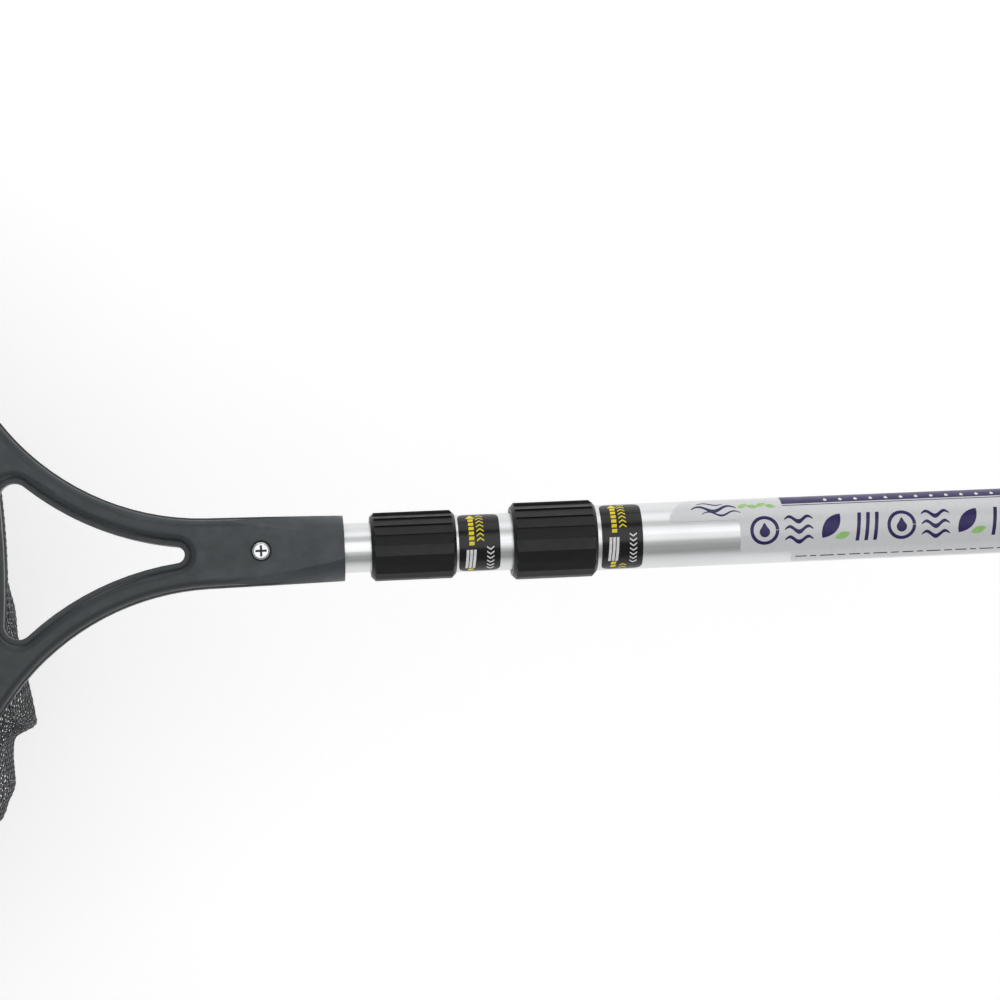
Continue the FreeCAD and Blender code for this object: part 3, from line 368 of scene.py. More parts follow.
def resampled(values, at, axis, wrap):
    """Smooth (Catmull-Rom) samples of a grid at fractional places along one axis."""
    base = np.floor(at).astype(int)
    f = at - base
    weights = (
        (-f + 2 * f**2 - f**3) / 2,
        (2 - 5 * f**2 + 3 * f**3) / 2,
        (f + 4 * f**2 - 3 * f**3) / 2,
        (f**3 - f**2) / 2,
    )
    count = values.shape[axis]
    shape = [1] * values.ndim
    shape[axis] = len(at)
    total = 0
    for step, weight in enumerate(weights):
        found = base + step - 1
        found = found % count if wrap else np.clip(found, 0, count - 1)
        total = total + weight.reshape(shape) * np.take(values, found, axis)
    return total


def at_pairs(values, u, v):
    """Linear samples of a grid whose second axis wraps, at pairs of places."""
    rows, columns = values.shape[:2]
    i = np.clip(np.floor(u).astype(int), 0, rows - 2)
    j = np.floor(v).astype(int)
    f, g = (u - i)[:, None], (v - j)[:, None]
    near, far = values[i, j % columns], values[i, (j + 1) % columns]
    near_down, far_down = values[i + 1, j % columns], values[i + 1, (j + 1) % columns]
    return (near * (1 - g) + far * g) * (1 - f) + (near_down * (1 - g) + far_down * g) * f


# ---------------------------------------------------------------- net bag

NET_PITCH = 3.4 * MM
YARN_WIDTH = 0.86 * MM
YARN_THICK = 0.44 * MM
WEAVE_RISE = 0.20 * MM
SIM_COLUMNS = 112
WALL_ROWS = 32
FLOOR_ROWS = 16
SEAM_DEPTH = 0.246
LARGEST_MOVE = 13 * MM
TUCK_SPOT = (-0.884, -0.075)
HANG_FRAMES = 26


def surface_of(node_name):
    mesh = frame["nodes"][node_name].data
    return BVHTree.FromPolygons(
        [v.co for v in mesh.vertices], [tuple(p.vertices) for p in mesh.polygons]
    )


def outer_hit(tree, centre, direction, reach=0.7):
    """Where a line from outside towards the centre first meets a surface."""
    return tree.ray_cast(centre + direction * reach, -direction, reach)[0]


def trace_bag():
    """Rest shape of the bag from its CAD solid: a grid of points from rim to pole.

    Also the columns' azimuths, the rim's length and the wall's mean length.
    """
    low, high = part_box("net_bag")
    tree = surface_of("net_bag")
    middle = Vector(((low.x + high.x) / 2, 0, 0))
    rim_level = high.z - 0.6 * MM
    turns = np.linspace(0, 2 * math.pi, 1441)[:-1]
    rim = np.array(
        [
            outer_hit(tree, Vector((middle.x, 0, rim_level)), Vector((math.cos(a), math.sin(a), 0)))
            for a in turns
        ]
    )
    around = np.concatenate([[0], np.cumsum(np.linalg.norm(np.roll(rim, -1, 0) - rim, axis=1))])
    length = around[-1]
    azimuths = np.interp(
        np.arange(SIM_COLUMNS) / SIM_COLUMNS * length, around, np.append(turns, 2 * math.pi)
    )
    heart = Vector((middle.x, 0, low.z * 0.42))
    columns, wall_lengths = [], []
    for azimuth in azimuths:
        flat = Vector((math.cos(azimuth), math.sin(azimuth), 0))
        top = outer_hit(tree, Vector((middle.x, 0, rim_level)), flat)
        start = math.atan2(rim_level - heart.z, (top - middle).xy.length)
        line = [top]
        for share in np.linspace(0, 1, 181)[1:]:
            angle = start + (-math.pi / 2 - start) * share
            direction = flat * math.cos(angle) + Vector((0, 0, math.sin(angle)))
            line.append(outer_hit(tree, heart, direction))
        line = np.array([list(p) for p in line])
        run = np.concatenate([[0], np.cumsum(np.linalg.norm(np.diff(line, axis=0), axis=1))])
        seam = np.interp(SEAM_DEPTH, -line[:, 2], run)
        rows = np.concatenate(
            [
                np.linspace(0, seam, WALL_ROWS + 1),
                seam + (run[-1] - seam) * np.linspace(0, 1, FLOOR_ROWS + 1)[1:],
            ]
        )
        columns.append(np.stack([np.interp(rows, run, line[:, k]) for k in range(3)], 1))
        wall_lengths.append(seam)
    return np.stack(columns, 1), azimuths, length, float(np.mean(wall_lengths))


def grid_normals(grid):
    """Outward normals of a grid of points whose second axis wraps round the bag."""
    along = np.roll(grid, -1, 1) - np.roll(grid, 1, 1)
    down = np.gradient(grid, axis=0)
    return unit(np.cross(down, along))


def softened(grid, azimuths):
    """The rest shape with the slack of real cloth: folds that die out at the hem."""
    rows = grid.shape[0]
    share = np.clip(np.arange(rows) / WALL_ROWS, 0, 1)[:, None]
    below = np.clip((np.arange(rows) - WALL_ROWS) / FLOOR_ROWS, 0, 1)[:, None]
    a = azimuths[None, :]
    folds = (
        0.50 * np.sin(9 * a + 0.6 + 0.9 * share)
        + 0.42 * np.sin(14 * a + 2.3 - 1.3 * share)
        + 0.34 * np.sin(23 * a + 4.1 + 0.7 * share)
        + 0.30 * np.sin(5 * a + 1.2)
    )
    side = grid[..., 1]
    near = np.clip((0.125 - side) / 0.035, 0, 1) * np.clip((side + 0.045) / 0.04, 0, 1)
    near = near * near * (3 - 2 * near) * (np.cos(a) > 0)
    size = 4.6 * MM * np.clip(share * 2.6, 0, 1) ** 1.5 * (1 - 0.55 * share) * (1 - below)
    soft = grid + grid_normals(grid) * (folds * size * (1 - 0.6 * near))[..., None]
    soft[..., 0] -= 6 * MM * near * np.clip(share * 2.2, 0, 1) * (1 - below)
    return soft


def hung(grid):
    """The grid after a cloth simulation held at the hem under its own weight."""
    rows, columns = grid.shape[:2]
    points = grid[:-1].reshape(-1, 3)
    pole = grid[-1].mean(0)
    index = np.arange((rows - 1) * columns).reshape(rows - 1, columns)
    faces = []
    for i in range(rows - 2):
        for j in range(columns):
            k = (j + 1) % columns
            faces.append([index[i, j], index[i + 1, j], index[i + 1, k], index[i, k]])
    last = len(points)
    faces += [[index[-1, j], last, index[-1, (j + 1) % columns]] for j in range(columns)]
    mesh = bpy.data.meshes.new("hanging")
    mesh.from_pydata(
        np.vstack([points, pole]).tolist(), [], [[int(n) for n in f] for f in faces]
    )
    cloth_object = bpy.data.objects.new("hanging", mesh)
    scene.collection.objects.link(cloth_object)
    held = cloth_object.vertex_groups.new(name="held")
    held.add([int(n) for n in index[0]], 1.0, "REPLACE")
    held.add([int(n) for n in index[1]], 0.55, "REPLACE")
    cloth = cloth_object.modifiers.new("hang", "CLOTH")
    settings = cloth.settings
    settings.quality = 6
    settings.mass = 0.02
    settings.air_damping = 2.0
    settings.tension_stiffness = 18
    settings.compression_stiffness = 10
    settings.shear_stiffness = 4
    settings.bending_stiffness = 0.25
    settings.vertex_group_mass = "held"
    settings.pin_stiffness = 2.0
    cloth.collision_settings.use_collision = False
    cloth.collision_settings.use_self_collision = False
    cloth.point_cache.frame_start = 1
    cloth.point_cache.frame_end = HANG_FRAMES
    for number in range(1, HANG_FRAMES + 1):
        scene.frame_set(number)
    shape = cloth_object.evaluated_get(bpy.context.evaluated_depsgraph_get()).to_mesh()
    moved = np.zeros(len(shape.vertices) * 3, np.float32)
    shape.vertices.foreach_get("co", moved)
    bpy.data.objects.remove(cloth_object)
    bpy.data.meshes.remove(mesh)
    scene.frame_set(1)
    moved = moved.reshape(-1, 3).astype(float)
    result = grid.copy()
    result[:-1] = moved[:-1].reshape(rows - 1, columns, 3)
    result[-1] = moved[-1]
    shift = result - grid
    size = np.linalg.norm(shift, axis=-1, keepdims=True)
    return grid + shift * np.minimum(1, LARGEST_MOVE / np.maximum(size, 1e-9))


def bell(distance, width):
    """1 at no distance, falling smoothly to nothing."""
    return np.exp(-((distance / width) ** 2))


def round_rim(places, length, spot, rim):
    """Distances along the rim from the point of it nearest to a spot in plan."""
    centre = places[np.argmin(np.hypot(rim[:, 0] - spot[0], rim[:, 1] - spot[1]))]
    return (places - centre + length / 2) % length - length / 2


# How far the slack net swings out towards +X, at steps of Y along the near rim.
SWING_Y = np.array(
    [-0.165, -0.150, -0.135, -0.115, -0.100, -0.085, -0.070, -0.055, -0.035, -0.015, 0.005]
)
SWING_X = np.array([0.0, 18.0, 42.0, 38.0, 23.0, 17.0, 19.0, 15.0, 8.5, 3.0, 0.0]) * MM
SWING_DEPTH = 165 * MM


def billowed(grid):
    """The slack net swings out past the bridge and the shoulder of the hoop on the -Y side."""
    near_rim = grid[0][:, 0] > -0.955
    reach = np.interp(grid[0][:, 1], SWING_Y, SWING_X) * near_rim
    reach = (np.roll(reach, 1) + 2 * reach + np.roll(reach, -1)) / 4
    depth = np.clip(np.arange(len(grid)) / WALL_ROWS, 0, 1) * wall_length
    swing = np.sin(math.pi * np.clip(depth / SWING_DEPTH, 0, 1) ** 0.62) ** 1.1
    moved = grid.copy()
    moved[..., 0] += swing[:, None] * reach[None, :]
    return moved


rest_grid, azimuths, rim_length, wall_length = trace_bag()
bag_grid = softened(rest_grid, azimuths)
bag_grid = hung(bag_grid)
bag_grid[0] = rest_grid[0]
bag_grid = billowed(bag_grid)
wall_grid = bag_grid[: WALL_ROWS + 1]
floor_grid = bag_grid[WALL_ROWS:]


def tucked(points, around, depth):
    """A tuck of the slack net under the shoulder on the -Y side, where it lies doubled."""
    away = round_rim(around, rim_length, TUCK_SPOT, points[0])
    fall = np.clip(depth / (9 * MM), 0, 1) * bell(np.maximum(depth - 20 * MM, 0), 24 * MM)
    size = 6 * MM * fall[:, None] * bell(away, 8 * MM)[None, :]
    lean = 8 * MM * fall[:, None] * bell(away - 8 * MM, 8 * MM)[None, :]
    outward = np.array([0.93, -0.37, 0.0])
    along = np.array([-0.37, -0.93, 0.0])
    return points + size[..., None] * outward + lean[..., None] * along


def net_wall():
    """Fine grid of crossings of the wall: points and outward normals."""
    columns = 2 * round(rim_length / NET_PITCH / 2)
    rows = round(wall_length / NET_PITCH)
    fine = resampled(wall_grid, np.linspace(0, WALL_ROWS, rows + 1), 0, False)
    fine = resampled(fine, np.arange(columns) / columns * SIM_COLUMNS, 1, True)
    around = np.arange(columns) / columns * rim_length
    depth = np.linspace(0, wall_length, rows + 1)
    fine = tucked(fine, around, depth)
    return fine, grid_normals(fine)


YARN = np.array(
    [
        (YARN_THICK / 2, -YARN_WIDTH / 2),
        (YARN_THICK / 2, YARN_WIDTH / 2),
        (-YARN_THICK / 2, YARN_WIDTH / 2),
        (-YARN_THICK / 2, -YARN_WIDTH / 2),
    ]
)


def strands(points, normals, rise):
    """Yarns along the first axis of a grid, each lifted by rise over and under the others."""
    path = points + normals * rise[..., None]
    ahead = np.concatenate([path[1:], path[-1:]])
    behind = np.concatenate([path[:1], path[:-1]])
    side = unit(np.cross(unit(ahead - behind), normals))
    rings = (
        path[:, :, None]
        + YARN[None, None, :, :1] * normals[:, :, None]
        + YARN[None, None, :, 1:] * side[:, :, None]
    )
    steps, yarns = path.shape[:2]
    start = (np.arange(steps)[:, None] * yarns + np.arange(yarns)[None, :]) * 4
    parts = []
    for k in range(4):
        turn = (k + 1) % 4
        parts.append(
            np.stack(
                [start[:-1] + k, start[:-1] + turn, start[1:] + turn, start[1:] + k], -1
            ).reshape(-1, 4)
        )
    parts.append(np.stack([start[0] + k for k in (3, 2, 1, 0)], -1))
    parts.append(np.stack([start[-1] + k for k in range(4)], -1))
    return rings.reshape(-1, 3), np.concatenate(parts)


def net_panel(name, points, normals):
    """A panel of woven net: yarns down the wall and yarns round it, over and under."""
    steps, yarns = points.shape[:2]
    weave = (-1.0) ** (np.arange(steps)[:, None] + np.arange(yarns)[None, :]) * WEAVE_RISE
    down = strands(points, normals, weave)
    across = strands(
        points.transpose(1, 0, 2), normals.transpose(1, 0, 2), -weave.T
    )
    all_points = np.vstack([down[0], across[0]])
    faces = np.vstack([down[1], across[1] + len(down[0])])
    return mesh_piece(name, all_points, faces, LOOKS["net"], "front_pole", False)


fine_wall, fine_normals = net_wall()
columns = fine_wall.shape[1]
quarter = columns // 4
near_half = np.arange(-quarter, quarter + 1) % columns
far_half = np.arange(quarter, columns - quarter + 1) % columns
net_near = net_panel("net_near_wall", fine_wall[:, near_half], fine_normals[:, near_half])
net_far = net_panel("net_far_wall", fine_wall[:, far_half], fine_normals[:, far_half])
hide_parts("net_bag")


def net_floor():
    """The bottom panel: straight yarns along X and Y that end under the seam tape."""
    seam = floor_grid[0]
    heart = floor_grid[-1, 0]
    spokes = seam[:, :2] - heart[:2]
    turn = np.unwrap(np.arctan2(spokes[:, 1], spokes[:, 0]))
    turn = np.append(turn, turn[0] + 2 * math.pi)
    reach = np.append(np.linalg.norm(spokes, axis=1), np.linalg.norm(spokes[0]))
    normals = grid_normals(floor_grid[:-1])
    normals = np.concatenate([normals, np.broadcast_to([0, 0, -1.0], normals[:1].shape)])

    def placed(x, y):
        offset = np.stack([x, y], -1) - heart[:2]
        angle = np.arctan2(offset[:, 1], offset[:, 0])
        angle = turn[0] + (angle - turn[0]) % (2 * math.pi)
        q = np.linalg.norm(offset, axis=1) / np.interp(angle, turn, reach)
        column = np.interp(angle, turn, np.arange(SIM_COLUMNS + 1))
        row = FLOOR_ROWS * (1 - np.clip(q, 0, 1))
        inside = q <= 1.0
        return (
            at_pairs(floor_grid, row, column),
            unit(at_pairs(normals, row, column)),
            inside,
        )

    low, high = seam[:, :2].min(0), seam[:, :2].max(0)
    xs = np.arange(low[0], high[0], NET_PITCH)
    ys = np.arange(low[1], high[1], NET_PITCH)
    parts = []
    for first, second, lead in ((xs, ys, 1), (ys, xs, -1)):
        for n, level in enumerate(first):
            level_line = np.full(len(second), level)
            x, y = (level_line, second) if lead == 1 else (second, level_line)
            points, outward, inside = placed(x, y)
            if inside.sum() < 3:
                continue
            rise = (lead * (-1.0) ** (n + np.arange(len(second))) * WEAVE_RISE)[inside]
            path, outward = points[inside], outward[inside]
            made = strands(path[:, None], outward[:, None], rise[:, None])
            parts.append((made[0], made[1].tolist()))
    return joined(parts)


floor_points, floor_faces = net_floor()
net_bottom = mesh_piece(
    "net_bottom", floor_points, floor_faces, LOOKS["net"], "front_pole", False
)


# ---------------------------------------------------------------- tapes and stitches


def tape_profile(width, thick, ribs=9, rise=0.12 * MM, lift=0.0):
    """Section of a woven tape: rounded edges, fine lengthwise ribs on its outer face."""
    outer = []
    for n in range(2 * ribs + 1):
        share = n / (2 * ribs)
        edge = min(share, 1 - share) * 2 * ribs
        height = thick * (1 if edge >= 1 else 0.55)
        outer.append((lift + height + (rise if n % 2 else 0), (share - 0.5) * width))
    inner = [(lift, width * 0.49), (lift, -width * 0.49)]
    return outer + inner


def wall_line(depth_rows, column_places):
    """Points and outward normals along a line on the wall, at places of the simulated grid."""
    line = at_pairs(wall_grid, depth_rows, column_places)
    normals = at_pairs(grid_normals(wall_grid), depth_rows, column_places)
    return line, unit(normals)


def stitches(path, outward, spacing, length, offsets, lift):
    """Short raised stitches along a path, in rows at sideways offsets."""
    run = np.concatenate([[0], np.cumsum(np.linalg.norm(np.diff(path, axis=0), axis=1))])
    places = np.arange(spacing, run[-1] - spacing, spacing)
    parts = []
    for offset in offsets:
        for place in places:
            ends = np.array([place - length / 2, place, place + length / 2])
            line = np.stack([np.interp(ends, run, path[:, k]) for k in range(3)], 1)
            normal = unit(np.stack([np.interp(ends, run, outward[:, k]) for k in range(3)], 1))
            side = unit(np.cross(line[2] - line[0], normal[1]))
            line = line + side * offset + normal * (lift + np.array([[-0.12], [0.10], [-0.12]]) * MM)
            profile = [
                (0.24 * MM * math.cos(t), 0.24 * MM * math.sin(t))
                for t in np.arange(6) * math.pi / 3
            ]
            parts.append(swept(line, normal, profile, False))
    return joined(parts)


THREAD = woven("sewing_thread", (0.030, 0.031, 0.034), 0.6, 0.0006, 0.00005)

rim_count = 420
rim_places = np.arange(rim_count) / rim_count * SIM_COLUMNS
rim_path, rim_out = wall_line(np.full(rim_count, 0.0), rim_places)
rim_out[:, 2] = 0
rim_out = unit(rim_out)
RIM_TAPE_WIDTH = 10 * MM
rim_path = rim_path - np.array([0, 0, RIM_TAPE_WIDTH / 2 + 0.3 * MM])
points, faces = swept(rim_path, rim_out, tape_profile(RIM_TAPE_WIDTH, 0.7 * MM, lift=0.1 * MM), True)
rim_tape = mesh_piece(
    "rim_tape", points, faces, LOOKS["hem_webbing"], "front_pole"
)
rim_loop = np.vstack([rim_path, rim_path[:1]])
rim_loop_out = np.vstack([rim_out, rim_out[:1]])
points, faces = stitches(
    rim_loop, rim_loop_out, 3.6 * MM, 2.5 * MM, (-3.4 * MM, 3.4 * MM), 0.85 * MM
)
rim_stitching = mesh_piece(
    "rim_stitching", points, faces, THREAD, "front_pole"
)

seam_count = 400
seam_places = np.arange(seam_count) / seam_count * SIM_COLUMNS
seam_path, seam_out = wall_line(np.full(seam_count, WALL_ROWS - 0.01), seam_places)
points, faces = swept(seam_path, seam_out, tape_profile(9 * MM, 0.6 * MM, lift=0.3 * MM), True)
bottom_seam = mesh_piece(
    "bottom_seam_tape", points, faces, LOOKS["hem_webbing"], "front_pole"
)
seam_loop = np.vstack([seam_path, seam_path[:1]])
seam_loop_out = np.vstack([seam_out, seam_out[:1]])
points, faces = stitches(
    seam_loop, seam_loop_out, 3.8 * MM, 2.6 * MM, (-2.6 * MM, 2.6 * MM), 0.95 * MM
)
bottom_stitching = mesh_piece(
    "bottom_seam_stitching", points, faces, THREAD, "front_pole"
)

side_tapes = []
for side_name, place in (("left", SIM_COLUMNS / 4), ("right", SIM_COLUMNS * 3 / 4)):
    rows = np.linspace(0.9, WALL_ROWS - 0.5, 90)
    path, outward = wall_line(rows, np.full(len(rows), place))
    points, faces = swept(path, outward, tape_profile(8 * MM, 0.6 * MM, lift=0.3 * MM), False)
    tape = mesh_piece(
        f"side_seam_tape_{side_name}", points, faces, LOOKS["hem_webbing"], "front_pole",
    )
    points, faces = stitches(
        path, outward, 3.8 * MM, 2.6 * MM, (-2.3 * MM, 2.3 * MM), 0.95 * MM
    )
    thread = mesh_piece(
        f"side_seam_stitching_{side_name}", points, faces, THREAD, "front_pole",
    )
    side_tapes += [tape, thread]


def hem_band():
    """The webbing hem clamped under the hoop, swept round the CAD hem's own outline."""
    low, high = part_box("net_hem")
    tree = surface_of("net_hem")
    level = (low.z + high.z) / 2
    middle = Vector(((low.x + high.x) / 2, 0, level))
    path = []
    for a in np.linspace(0, 2 * math.pi, 481)[:-1]:
        direction = Vector((math.cos(a), math.sin(a), 0))
        outer = outer_hit(tree, middle, direction)
        inner = tree.ray_cast(middle, direction, 0.7)[0]
        path.append((outer + inner) / 2)
    path = np.array([list(p) for p in path])
    ahead = np.roll(path, -1, 0) - np.roll(path, 1, 0)
    out = unit(np.cross(ahead, [0, 0, 1.0]))
    half_width = 5.3 * MM
    half_thick = (high.z - low.z) / 2
    profile = []
    ribs = 22
    for n in range(ribs + 1):
        share = n / ribs
        bulge = half_thick * (1.0 if 0 < n < ribs else 0.5) * (1 if n % 2 else 0.86)
        profile.append(((0.5 - share) * 2 * half_width, bulge))
    profile += [(-x, -z) for x, z in profile]
    return swept(path, out, profile[::-1], True)


points, faces = hem_band()
hem = mesh_piece("hem_band", points, faces, LOOKS["hem_webbing"], "front_pole")
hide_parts("net_hem")


# ---------------------------------------------------------------- stickers and label


def rounded(corners, radius, steps=5):
    """A polygon's corners rounded off, as (x, y) points."""
    corners = [Vector(c) for c in corners]
    points = []
    for n, corner in enumerate(corners):
        before, after = corners[n - 1], corners[(n + 1) % len(corners)]
        reach = min(radius, (before - corner).length / 2.2, (after - corner).length / 2.2)
        start = corner + (before - corner).normalized() * reach
        end = corner + (after - corner).normalized() * reach
        for k in range(steps + 1):
            t = k / steps
            points.append(start * (1 - t) ** 2 + corner * 2 * t * (1 - t) + end * t**2)
    return points


def bar(x, y, width, height, lean=0.0):
    """A box as (x, y) corners, centred at x, y and leaning sideways towards its top."""
    w, h = width / 2, height / 2
    return [
        (x - w - lean, y - h), (x + w - lean, y - h),
        (x + w + lean, y + h), (x - w + lean, y + h),
    ]


def wrapped(name, shapes, radius, lift, thick, materials, body, step=0.8 * MM):
    """Thin closed films on a tube, each shape given as (corners, material number).

    A corner's x runs along the tube, and its y round it, from the top towards +Y.
    """
    flat = bmesh.new()
    for corners, number in shapes:
        face = flat.faces.new([flat.verts.new((x, y, 0)) for x, y in corners])
        face.material_index = number
        face.normal_update()
        if face.normal.z < 0:
            face.normal_flip()
    bmesh.ops.triangulate(flat, faces=flat.faces[:])
    levels = [v.co.y for v in flat.verts]
    level = min(levels) + step
    while level < max(levels) - step * 0.3:
        bmesh.ops.bisect_plane(
            flat,
            geom=flat.verts[:] + flat.edges[:] + flat.faces[:],
            plane_co=(0, level, 0),
            plane_no=(0, 1, 0),
        )
        level += step
    raised = bmesh.ops.extrude_face_region(flat, geom=flat.faces[:], use_keep_orig=True)
    for item in raised["geom"]:
        if isinstance(item, bmesh.types.BMVert):
            item.co.z += thick
    for v in flat.verts:
        angle, r = v.co.y / radius, radius + lift + v.co.z
        v.co = (v.co.x, r * math.sin(angle), r * math.cos(angle))
    bmesh.ops.recalc_face_normals(flat, faces=flat.faces[:])
    mesh = bpy.data.meshes.new(name)
    flat.to_mesh(mesh)
    flat.free()
    for material in materials:
        mesh.materials.append(material)
    piece = bpy.data.objects.new(name, mesh)
    scene.collection.objects.link(piece)
    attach(piece, body)
    return piece


def chevron(x, y, half_width, height, stroke, point):
    """A small roof shape that points up the y axis, or down it when point is -1."""
    roof = [(-1, 0), (0, 1), (1, 0)]
    outer = [(x + half_width * u, y + point * height * v) for u, v in roof]
    inner = [(px, py - point * stroke) for px, py in outer]
    return outer + inner[::-1]


FRONT_RADIUS = 14 * MM
REAR_RADIUS = 16 * MM
FILM_HALF_ANGLE = 74.5
PRINT_HALF_ANGLE = 73


def lock_sticker(node, tube_radius, body, shift):
    """Black film round a twist lock, with signs that show which way to turn.

    They are dashed yellow arrows, three slanted white bars between them and columns of small
    chevrons. The shift, in degrees, turns the print round the tube.
    """
    low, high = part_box(node)
    start, length = low.x, high.x - low.x
    half = math.radians(FILM_HALF_ANGLE) * tube_radius

    def deg(angle):
        held = max(-PRINT_HALF_ANGLE, min(PRINT_HALF_ANGLE, angle))
        return math.radians(held) * tube_radius

    def turned(angle):
        return deg(angle + shift)

    film = rounded(
        [(start, -half), (start + length, -half), (start + length, half), (start, half)],
        5.0 * MM,
    )
    base = wrapped(
        node + "_film", [(film, 0)], tube_radius, 0.03 * MM, 0.12 * MM,
        [LOOKS["sticker_film"]], body,
    )
    arrow_x = start + 6.2 * MM
    head = min(turned(68), deg(71))
    neck = head - 3.4 * MM
    marks = [([(arrow_x - 2.3 * MM, neck), (arrow_x + 2.3 * MM, neck), (arrow_x, head)], 0)]
    dash, pitch = 1.75 * MM, 2.5 * MM
    level = neck - 0.5 * MM - dash / 2
    while level > turned(-12) + dash / 2:
        marks.append((bar(arrow_x, level, 2.5 * MM, dash, 0.1 * MM), 0))
        level -= pitch
    bars_top, bars_bottom = turned(-15), turned(-60)
    bars_middle, bars_length = (bars_top + bars_bottom) / 2, bars_top - bars_bottom
    for n in (-1, 0, 1):
        x = arrow_x + (n * 1.75 - 0.5) * MM
        marks.append((bar(x, bars_middle, 1.3 * MM, bars_length, 0.3 * MM), 1))
    level = bars_bottom - 0.6 * MM - dash / 2
    while level > deg(-PRINT_HALF_ANGLE) + dash / 2:
        marks.append((bar(arrow_x - 0.4 * MM, level, 2.5 * MM, dash, 0.2 * MM), 0))
        level -= pitch
    columns = (
        (10.4 * MM, turned(68), turned(-3), 1, 0),
        (15.2 * MM, turned(-5), turned(-68), -1, 1),
        (10.4 * MM, turned(-66), deg(-PRINT_HALF_ANGLE), 1, 0),
    )
    for along, top, bottom, point, number in columns:
        level = top - 1.6 * MM
        while level > bottom + 1.2 * MM:
            sign = chevron(start + along, level, 1.75 * MM, 1.3 * MM, 0.75 * MM, point)
            marks.append((sign, number))
            level -= 2.35 * MM
    wrapped(
        node + "_marks", marks, tube_radius, 0.15 * MM, 0.03 * MM,
        [INK["yellow"], INK["white"]], body,
    )
    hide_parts(node)


lock_sticker("front_lock_sticker", FRONT_RADIUS, "middle_pole", 0)
lock_sticker("rear_lock_sticker", REAR_RADIUS, "outer_pole", 13)


def wave_line(x, y, length, height, swing, turns, count=28):
    """A wavy stroke as a closed polygon."""
    up, down = [], []
    for n in range(count + 1):
        t = n / count
        centre = y + swing * math.sin(t * turns * 2 * math.pi)
        thin = height * (0.35 + 0.65 * math.sin(math.pi * t))
        up.append((x + t * length, centre + thin / 2))
        down.append((x + t * length, centre - thin / 2))
    return up + down[::-1]


def leaf(x, y, length, width, lean, count=10):
    """A pointed leaf outline."""
    points = []
    for side in (1, -1):
        for n in range(count):
            t = n / count if side > 0 else 1 - n / count
            along = (t - 0.5) * length
            across = side * width / 2 * math.sin(math.pi * t) ** 0.8
            points.append(
                (
                    x + along * math.cos(lean) - across * math.sin(lean),
                    y + along * math.sin(lean) + across * math.cos(lean),
                )
            )
    return points


def drop(x, y, radius, count=18):
    """A water drop outline, point up."""
    points = []
    for n in range(count):
        a = math.pi / 2 + 2 * math.pi * n / count
        upper = max(0, math.sin(a))
        waist, lift = 1 - 0.35 * upper**3, 1 + 0.75 * upper**6
        points.append((x + radius * math.cos(a) * waist, y + radius * math.sin(a) * lift))
    return points


def ring(x, y, outer, inner, count=28):
    """A ring as one polygon with a hairline slit."""

    def circle(r, turn):
        return [
            (x + r * math.cos(a), y + r * math.sin(a))
            for a in np.linspace(0.02, 2 * math.pi - 0.02, count)[::turn]
        ]

    return circle(outer, 1) + circle(inner, -1)


DROP_PITCH = 7.6 * MM
SIGN_PITCH = 17 * MM
DASH_LENGTHS = (5.5 * MM, 3.0 * MM, 7.0 * MM, 4.0 * MM)
DASH_GAP = 1.8 * MM


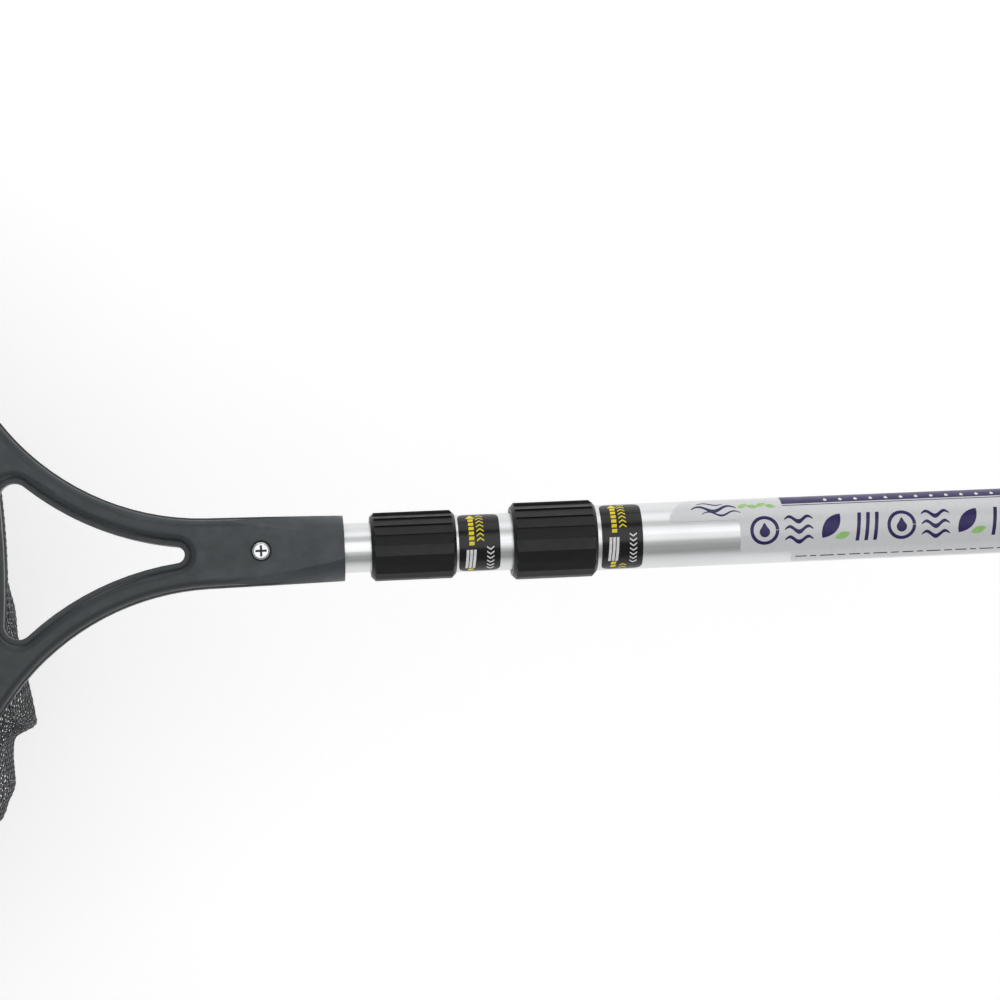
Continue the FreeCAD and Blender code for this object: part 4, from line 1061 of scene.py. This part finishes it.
def printed_label():
    """White stepped film with an indigo band, water and leaf signs, bars and a dashed line."""
    low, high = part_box("tube_label")
    radius = REAR_RADIUS
    start, end = low.x + 0.2 * MM, high.x - 0.2 * MM

    def deg(angle):
        return math.radians(angle) * radius

    top, first, second, third = deg(84.5), deg(20), deg(-42), deg(-74.5)
    step_one, step_two = start + 34 * MM, start + 60 * MM
    outline = rounded(
        [
            (start, first), (step_one, first), (step_one, second), (step_two, second),
            (step_two, third), (end, third), (end, top), (start + 9.5 * MM, top),
            (start, deg(32)),
        ],
        3.0 * MM,
    )
    film = wrapped(
        "tube_label_film", [(outline, 0)], radius, 0.03 * MM, 0.12 * MM,
        [LOOKS["label_film"]], "outer_pole",
    )
    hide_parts("tube_label")
    marks = []
    band_start = start + 56 * MM
    band_middle, band_length = (band_start + end - 2 * MM) / 2, end - 2 * MM - band_start
    marks.append((bar(band_middle, deg(66), band_length, deg(32)), 0))
    marks.append((bar(band_middle, deg(46), band_length, 0.5 * MM), 0))
    x = band_start + 22 * MM
    while x < end - 12 * MM:
        marks.append((drop(x, deg(58), 0.95 * MM), 1))
        x += DROP_PITCH
    mark_x, mark_y = start + 11 * MM, deg(45)
    marks.append((wave_line(mark_x, mark_y, 22 * MM, 2.2 * MM, 1.7 * MM, 1.5), 2))
    low_wave = wave_line(mark_x + 5 * MM, mark_y - 3.2 * MM, 19 * MM, 1.2 * MM, 1.2 * MM, 1.5)
    high_wave = wave_line(mark_x + 3 * MM, mark_y + 3.6 * MM, 13 * MM, 1.1 * MM, 1.0 * MM, 1.0)
    marks += [(low_wave, 2), (high_wave, 2)]
    small_leaves = ((25.5, 1.2, 0.5), (30, 0.6, -0.25), (34.5, 1.6, 0.45), (39, 0.4, -0.3))
    for dx, dy, lean in small_leaves:
        marks.append((leaf(mark_x + dx * MM, mark_y + dy * MM, 5.6 * MM, 2.6 * MM, lean), 3))
    x, turn = start + 46 * MM, 0
    middle = deg(-1)
    while x < end - 12 * MM:
        kind = turn % 4
        if kind == 0:
            marks.append((ring(x, middle, 7.2 * MM, 5.5 * MM), 0))
            marks.append((drop(x, middle - 0.8 * MM, 2.6 * MM), 0))
        elif kind == 1:
            for n in (-1, 0, 1):
                level = middle + n * 5.0 * MM
                marks.append((wave_line(x - 7 * MM, level, 14 * MM, 2.2 * MM, 1.3 * MM, 1.5), 0))
        elif kind == 2:
            marks.append((leaf(x - 1 * MM, middle + 1 * MM, 15 * MM, 7.2 * MM, 0.9), 0))
            marks.append((leaf(x + 4.5 * MM, middle - 4 * MM, 8 * MM, 3.4 * MM, 0.3), 3))
        else:
            for n in (-1, 0, 1):
                marks.append((bar(x + n * 4.4 * MM, middle, 1.8 * MM, 14 * MM, 0.8 * MM), 0))
        x += SIGN_PITCH
        turn += 1
    x, turn = start + 62 * MM, 0
    while x < end - 10 * MM:
        wide = DASH_LENGTHS[turn % 4]
        marks.append((bar(x + wide / 2, deg(-56), wide, 0.8 * MM), 4))
        x += wide + DASH_GAP
        turn += 1
    wrapped(
        "tube_label_print", marks, radius, 0.15 * MM, 0.03 * MM,
        [INK["indigo"], INK["white"], INK["navy"], INK["green"], INK["black"]],
        "outer_pole",
    )


printed_label()


# ---------------------------------------------------------------- studio


def studio_floor():
    """A plain pale floor that rises smoothly into a backdrop on all sides."""
    count, flat_reach, reach, level = 64, 3.2, 6.0, -0.30
    points, faces = [], []
    middle = (cad_low.x + cad_high.x) / 2
    rings = [0.5, 1.0, 2.0, flat_reach, 4.2, 5.0, 5.6, reach]
    for r in rings:
        rise = 1.6 * max(0.0, (r - flat_reach) / (reach - flat_reach)) ** 2
        for n in range(count):
            a = 2 * math.pi * n / count
            points.append((middle + r * math.cos(a), r * math.sin(a), level + rise))
    points.append((middle, 0, level))
    for i in range(len(rings) - 1):
        for n in range(count):
            m = (n + 1) % count
            faces.append([i * count + n, (i + 1) * count + n, (i + 1) * count + m, i * count + m])
    faces += [[len(points) - 1, n, (n + 1) % count] for n in range(count)]
    mesh = bpy.data.meshes.new("studio_floor")
    mesh.from_pydata(points, [], faces)
    mesh.polygons.foreach_set("use_smooth", [True] * len(mesh.polygons))
    look = Look("studio_paper", (0.90, 0.90, 0.90), 0.85, Emission_Strength=0.42)
    look.shader.inputs["Emission Color"].default_value = (1, 1, 1, 1)
    look.colour_by(look.colours(look.noise(3, 2), (0.885, 0.885, 0.885), (0.915, 0.915, 0.915)))
    mesh.materials.append(look.material)
    floor = bpy.data.objects.new("studio_floor", mesh)
    scene.collection.objects.link(floor)


studio_floor()


def softbox(name, place, aim, size, power):
    light = bpy.data.lights.new(name, "AREA")
    light.shape = "RECTANGLE"
    light.size, light.size_y = size
    light.energy = power
    lamp = bpy.data.objects.new(name, light)
    lamp.location = place
    lamp.rotation_mode = "QUATERNION"
    lamp.rotation_quaternion = (Vector(aim) - Vector(place)).to_track_quat("-Z", "Y")
    scene.collection.objects.link(lamp)


LOOK_AT = Vector((-0.6348, 0.0204, 0.0))
EYE = Vector((-0.766, -0.039, 1.312))
ROLL = math.radians(2.31)
LENS = 97.4

softbox("overhead", (-0.70, 0.05, 2.7), (-0.66, 0, 0), (3.0, 2.2), 27)
softbox("side", (-0.6, 2.3, 1.1), (-0.65, 0, 0), (3.0, 1.4), 13)

world = bpy.data.worlds.new("studio")
scene.world = world
world.use_nodes = True
world.node_tree.nodes["Background"].inputs["Color"].default_value = (1, 1, 1, 1)
world.node_tree.nodes["Background"].inputs["Strength"].default_value = 0.34

camera_data = bpy.data.cameras.new("camera")
camera_data.lens = LENS
camera_data.sensor_width = 36
camera_data.clip_start, camera_data.clip_end = 0.05, 30
camera = bpy.data.objects.new("camera", camera_data)
scene.collection.objects.link(camera)
back = (EYE - LOOK_AT).normalized()
handle = Vector((1, 0, 0))
level = (handle - back * handle.dot(back)).normalized()
upward = back.cross(level)
right = level * math.cos(ROLL) - upward * math.sin(ROLL)
true_up = back.cross(right)
camera.matrix_world = Matrix(
    (
        (right.x, true_up.x, back.x, EYE.x),
        (right.y, true_up.y, back.y, EYE.y),
        (right.z, true_up.z, back.z, EYE.z),
        (0, 0, 0, 1),
    )
)
camera_data.dof.use_dof = False
scene.camera = camera
